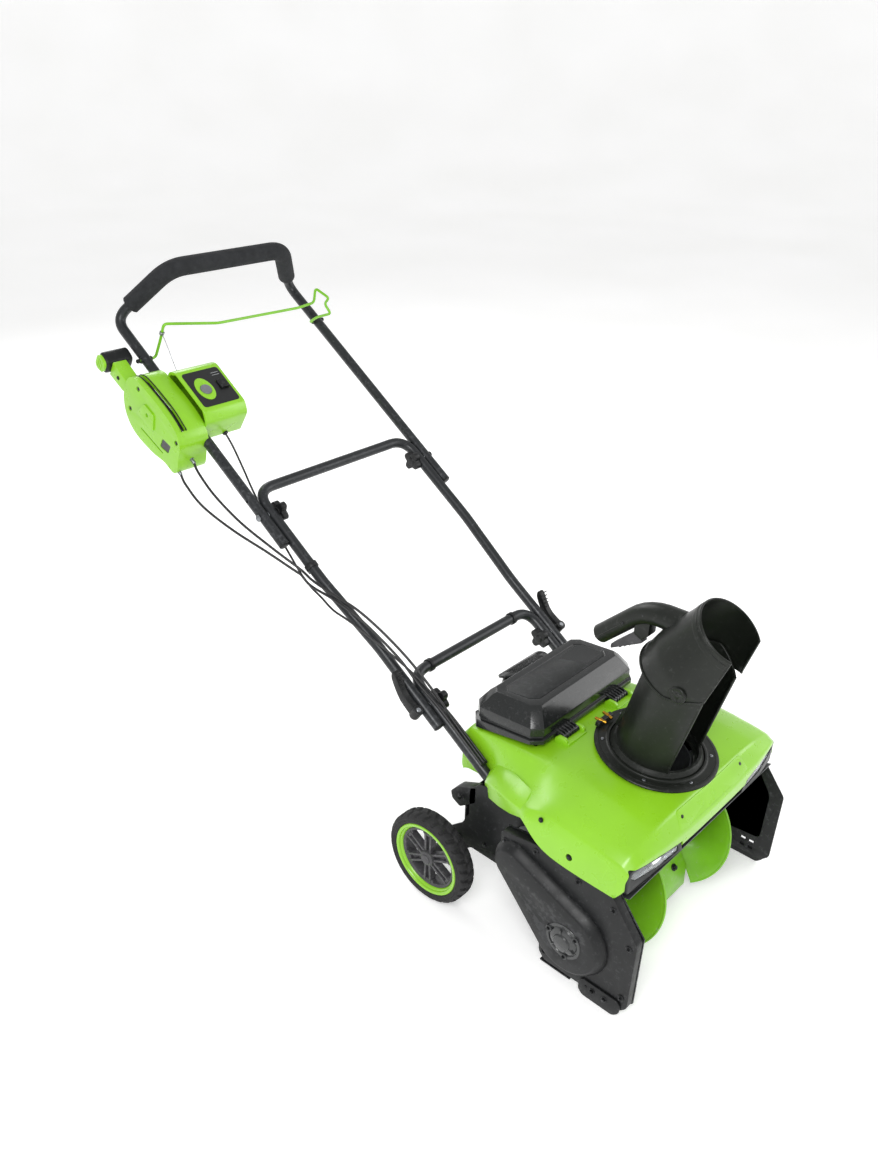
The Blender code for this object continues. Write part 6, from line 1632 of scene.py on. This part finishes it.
def build_cables(sizes):
    for runs, bodies, start, end in ((UPPER_RUNS, ("mid_frame", "upper_frame"), (0, 0.42, 0), (0, 0.6, 0)),
            (LOWER_RUNS, ("machine_body", "mid_frame"), (0, -0.03, 0.02), (0, 0.07, 0.02))):
        for name, points in runs.items():
            radius = sizes.wire_radius if name.startswith("switch") else sizes.cable_radius
            run = raw(f"{name}_run", tube(smooth_path(points, 14), radius, 20, HANDLE_FRAME))
            dress(run, "cable_sheath")
            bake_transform(run)
            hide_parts(name)


# ---------------------------------------------------------------- studio


def soft_light(name, place, target, width, watts):
    lamp = bpy.data.lights.new(name, "AREA")
    lamp.shape = "DISK"
    lamp.size = width
    lamp.energy = watts
    obj = bpy.data.objects.new(name, lamp)
    bpy.context.scene.collection.objects.link(obj)
    aim = (Vector(target) - Vector(place)).to_track_quat("-Z", "Y").to_matrix().to_4x4()
    obj.matrix_world = Matrix.Translation(place) @ aim


def build_studio(studio):
    scene = bpy.context.scene
    flat, rise, depth = 9.0, 4.0, 0.1
    wall = [(x + flat, z) for x, z in arc((0, rise), rise, -88, 0, 16)]
    sweep = [(0, 0.0), (flat, 0.0), *wall, (flat + rise + 0.05, rise), (flat + rise + 0.05, -depth),
        (0, -depth)]
    floor_mesh = lathe(sweep, 128, "Z")
    mesh = bpy.data.meshes.new("floor")
    floor_mesh.to_mesh(mesh)
    floor_mesh.free()
    floor = bpy.data.objects.new("floor", mesh)
    floor.location.z = -0.0005
    scene.collection.objects.link(floor)
    paint, tree, shader, place = begin("floor_paint")
    patches = add(tree, "ShaderNodeTexNoise", {"Vector": place, "Scale": per_mm(900), "Detail": 3.0})
    tint = ramp(tree, patches.outputs["Fac"], [(0.3, linear("f4f4f3")), (0.7, linear("fafafa"))])
    tree.links.new(tint, shader.inputs["Base Color"])
    shader.inputs["Roughness"].default_value = 0.85
    shader.inputs["Emission Color"].default_value = linear("ffffff")
    shader.inputs["Emission Strength"].default_value = 0.26
    mesh.materials.append(paint)
    mesh.shade_smooth()
    world = bpy.data.worlds.new("studio_air")
    world.use_nodes = True
    world.node_tree.nodes["Background"].inputs["Color"].default_value = (1, 1, 1, 1)
    world.node_tree.nodes["Background"].inputs["Strength"].default_value = studio.sky
    scene.world = world
    middle = (0.0, -0.2, 0.4)
    soft_light("key_light", (-2.4, -1.6, 2.9), middle, 1.8, studio.key)
    soft_light("fill_light", (2.6, -2.2, 2.0), middle, 2.4, studio.fill)
    soft_light("back_light", (0.6, 2.8, 2.6), middle, 2.2, studio.back)
    scene.view_settings.view_transform = "Standard"
    turn, lift, roll = studio.turn, studio.lift, studio.roll
    back = Vector((math.sin(turn) * math.cos(lift), -math.cos(turn) * math.cos(lift), math.sin(lift)))
    level_right = Vector((math.cos(turn), math.sin(turn), 0))
    level_up = back.cross(level_right)
    right = level_right * math.cos(roll) + level_up * math.sin(roll)
    up = level_up * math.cos(roll) - level_right * math.sin(roll)
    lens = bpy.data.cameras.new("camera")
    lens.lens = studio.lens
    lens.sensor_width = 36.0
    lens.shift_x, lens.shift_y = studio.shift
    camera = bpy.data.objects.new("camera", lens)
    scene.collection.objects.link(camera)
    camera.matrix_world = Matrix.Translation(studio.place) @ Matrix((right, up, back)).transposed().to_4x4()
    scene.camera = camera


# ---------------------------------------------------------------- add-on


def colour_property(name, description, default):
    return FloatVectorProperty(name=name, description=description, subtype="COLOR", size=3, min=0.0,
        max=1.0, default=linear(default)[:3])


class ThrowerColours(bpy.types.PropertyGroup):
    green: colour_property("Green shell", "Moulded hood, rims and control box", "84c01c")
    auger_green: colour_property("Green steel", "Powder-coated auger and bail", "74b41e")
    steel_black: colour_property("Black steel", "Powder-coated intake and plates", "161718")
    tube_grey: colour_property("Handle tubes", "Satin coat on the handle", "27292b")
    plastic_black: colour_property("Black plastic", "Belt case, tray, knobs and levers", "151617")
    lid_black: colour_property("Lid", "Glossy battery lid", "1a1c1c")
    chute_black: colour_property("Chute", "Chute, deflector and their ring", "171a16")
    hub_grey: colour_property("Wheel hubs", "Grey nylon hubs and trigger", "3c3b3e")
    foam_black: colour_property("Foam", "Foam sleeve on the handle", "2a2b2d")


class ThrowerSizes(bpy.types.PropertyGroup):
    tube_radius: FloatProperty(name="Tube radius", description="Radius of the handle's tubes",
        default=0.011, unit="LENGTH", precision=4)
    foam_radius: FloatProperty(name="Foam radius", description="Radius of the foam sleeve", default=0.0195,
        unit="LENGTH", precision=4)
    cable_radius: FloatProperty(name="Cable radius", description="Radius of the two chute cables",
        default=0.0026, unit="LENGTH", precision=4)
    wire_radius: FloatProperty(name="Wire radius", description="Radius of the switch's wire",
        default=0.0022, unit="LENGTH", precision=4)
    flight_thickness: FloatProperty(name="Blade thickness", description="Thickness of the spirals",
        default=0.0036, unit="LENGTH", precision=4)
    lug_depth: FloatProperty(name="Lug depth", description="How deep the tread's grooves are",
        default=0.0034, unit="LENGTH", precision=4)
    tyre_lugs: IntProperty(name="Lugs", description="Lugs in each row round a tyre", default=28, min=8,
        max=60)


class ThrowerStudio(bpy.types.PropertyGroup):
    turn: FloatProperty(name="Turn", description="Camera's angle round the machine",
        default=math.radians(-47.129), subtype="ANGLE")
    lift: FloatProperty(name="Lift", description="Camera's angle above the horizon",
        default=math.radians(29.576), subtype="ANGLE")
    roll: FloatProperty(name="Roll", description="Camera's own roll", default=math.radians(0.859),
        subtype="ANGLE")
    lens: FloatProperty(name="Lens", description="Focal length in millimetres", default=31.29, min=10.0,
        max=200.0)
    shift: FloatVectorProperty(name="Shift", description="Sensor shift", size=2, default=(0.0097, 0.0179))
    place: FloatVectorProperty(name="Place", description="Where the camera stands", size=3,
        subtype="TRANSLATION", default=(-1.36125, -1.2594, 1.505))
    sky: FloatProperty(name="Sky", description="Strength of the even light", default=0.62, min=0.0)
    key: FloatProperty(name="Key", description="Watts of the main light", default=80.0, min=0.0, unit="POWER")
    fill: FloatProperty(name="Fill", description="Watts of the fill light", default=38.0, min=0.0,
        unit="POWER")
    back: FloatProperty(name="Back", description="Watts of the light behind", default=48.0, min=0.0,
        unit="POWER")


class THROWER_OT_finishes(bpy.types.Operator):
    """Makes every finish from the machine's colours"""

    bl_idname = "thrower.finishes"
    bl_label = "Finishes"

    def execute(self, context):
        make_finishes(context.scene.thrower_colours)
        return {"FINISHED"}


class THROWER_OT_studio(bpy.types.Operator):
    """Sets up the floor, the soft lights and the camera"""

    bl_idname = "thrower.studio"
    bl_label = "Studio"

    def execute(self, context):
        build_studio(context.scene.thrower_studio)
        return {"FINISHED"}


class THROWER_OT_hood(bpy.types.Operator):
    """Builds the green hood, its ribs, screws and hinge brackets"""

    bl_idname = "thrower.hood"
    bl_label = "Hood"

    def execute(self, context):
        build_hood()
        return {"FINISHED"}


class THROWER_OT_headlights(bpy.types.Operator):
    """Builds the two headlights, with their frames, covers and bowls"""

    bl_idname = "thrower.headlights"
    bl_label = "Headlights"

    def execute(self, context):
        build_headlights()
        return {"FINISHED"}


class THROWER_OT_lid(bpy.types.Operator):
    """Builds the battery lid with its panel, knuckles and catch"""

    bl_idname = "thrower.lid"
    bl_label = "Battery lid"

    def execute(self, context):
        build_lid()
        return {"FINISHED"}


class THROWER_OT_intake(bpy.types.Operator):
    """Builds the intake's scoop, end plates, scraper blade and skids"""

    bl_idname = "thrower.intake"
    bl_label = "Intake"

    def execute(self, context):
        build_intake()
        return {"FINISHED"}


class THROWER_OT_belt_case(bpy.types.Operator):
    """Builds the belt case, its bearing cover and its screws"""

    bl_idname = "thrower.belt_case"
    bl_label = "Belt case"

    def execute(self, context):
        build_belt_case()
        return {"FINISHED"}


class THROWER_OT_tray(bpy.types.Operator):
    """Builds the tray behind the intake"""

    bl_idname = "thrower.tray"
    bl_label = "Rear tray"

    def execute(self, context):
        build_chassis()
        return {"FINISHED"}


class THROWER_OT_chute(bpy.types.Operator):
    """Builds the chute's flange, the turning chute, the deflector and its grip"""

    bl_idname = "thrower.chute"
    bl_label = "Chute"

    def execute(self, context):
        build_chute_ring()
        build_chute()
        build_deflector()
        return {"FINISHED"}


class THROWER_OT_wheels(bpy.types.Operator):
    """Builds the two wheels: tyres, rims and hubs"""

    bl_idname = "thrower.wheels"
    bl_label = "Wheels"

    def execute(self, context):
        build_wheels(context.scene.thrower_sizes)
        return {"FINISHED"}


class THROWER_OT_auger(bpy.types.Operator):
    """Builds the auger's spirals, hub and blades"""

    bl_idname = "thrower.auger"
    bl_label = "Auger"

    def execute(self, context):
        build_auger(context.scene.thrower_sizes)
        return {"FINISHED"}


class THROWER_OT_handles(bpy.types.Operator):
    """Builds the handle's three tubes, the foam sleeve and the clips"""

    bl_idname = "thrower.handles"
    bl_label = "Handle tubes"

    def execute(self, context):
        build_handles(context.scene.thrower_sizes)
        return {"FINISHED"}


class THROWER_OT_knobs(bpy.types.Operator):
    """Builds the star knobs and the cam levers at the folds"""

    bl_idname = "thrower.knobs"
    bl_label = "Knobs and levers"

    def execute(self, context):
        build_knobs(context.scene.thrower_sizes)
        return {"FINISHED"}


class THROWER_OT_controls(bpy.types.Operator):
    """Builds the control box, the joystick and the bail"""

    bl_idname = "thrower.controls"
    bl_label = "Controls"

    def execute(self, context):
        build_control_box()
        build_joystick()
        build_bail()
        return {"FINISHED"}


class THROWER_OT_cables(bpy.types.Operator):
    """Builds the two chute cables and the switch's wire"""

    bl_idname = "thrower.cables"
    bl_label = "Cables"

    def execute(self, context):
        build_cables(context.scene.thrower_sizes)
        return {"FINISHED"}


OPERATORS = (THROWER_OT_finishes, THROWER_OT_studio, THROWER_OT_hood, THROWER_OT_headlights, THROWER_OT_lid,
    THROWER_OT_intake, THROWER_OT_belt_case, THROWER_OT_tray, THROWER_OT_chute, THROWER_OT_wheels,
    THROWER_OT_auger, THROWER_OT_handles, THROWER_OT_knobs, THROWER_OT_controls, THROWER_OT_cables)


class THROWER_PT_panel(bpy.types.Panel):
    """The machine's sizes, colours and build steps"""

    bl_label = "Snow thrower"
    bl_space_type = "VIEW_3D"
    bl_region_type = "UI"
    bl_category = "Snow thrower"

    def draw(self, context):
        column = self.layout.column()
        for group in (context.scene.thrower_colours, context.scene.thrower_sizes,
                context.scene.thrower_studio):
            for name in group.__annotations__:
                column.prop(group, name)
        for operator in OPERATORS:
            column.operator(operator.bl_idname)


CLASSES = (ThrowerColours, ThrowerSizes, ThrowerStudio, *OPERATORS, THROWER_PT_panel)


def register():
    for kind in CLASSES:
        bpy.utils.register_class(kind)
    bpy.types.Scene.thrower_colours = PointerProperty(type=ThrowerColours)
    bpy.types.Scene.thrower_sizes = PointerProperty(type=ThrowerSizes)
    bpy.types.Scene.thrower_studio = PointerProperty(type=ThrowerStudio)


def unregister():
    for name in ("thrower_colours", "thrower_sizes", "thrower_studio"):
        delattr(bpy.types.Scene, name)
    for kind in reversed(CLASSES):
        bpy.utils.unregister_class(kind)


def main():
    register()
    for operator in OPERATORS:
        step = getattr(bpy.ops.thrower, operator.bl_idname.split(".")[1])
        step()
    bpy.context.view_layer.update()


if __name__ == "__main__":
    main()
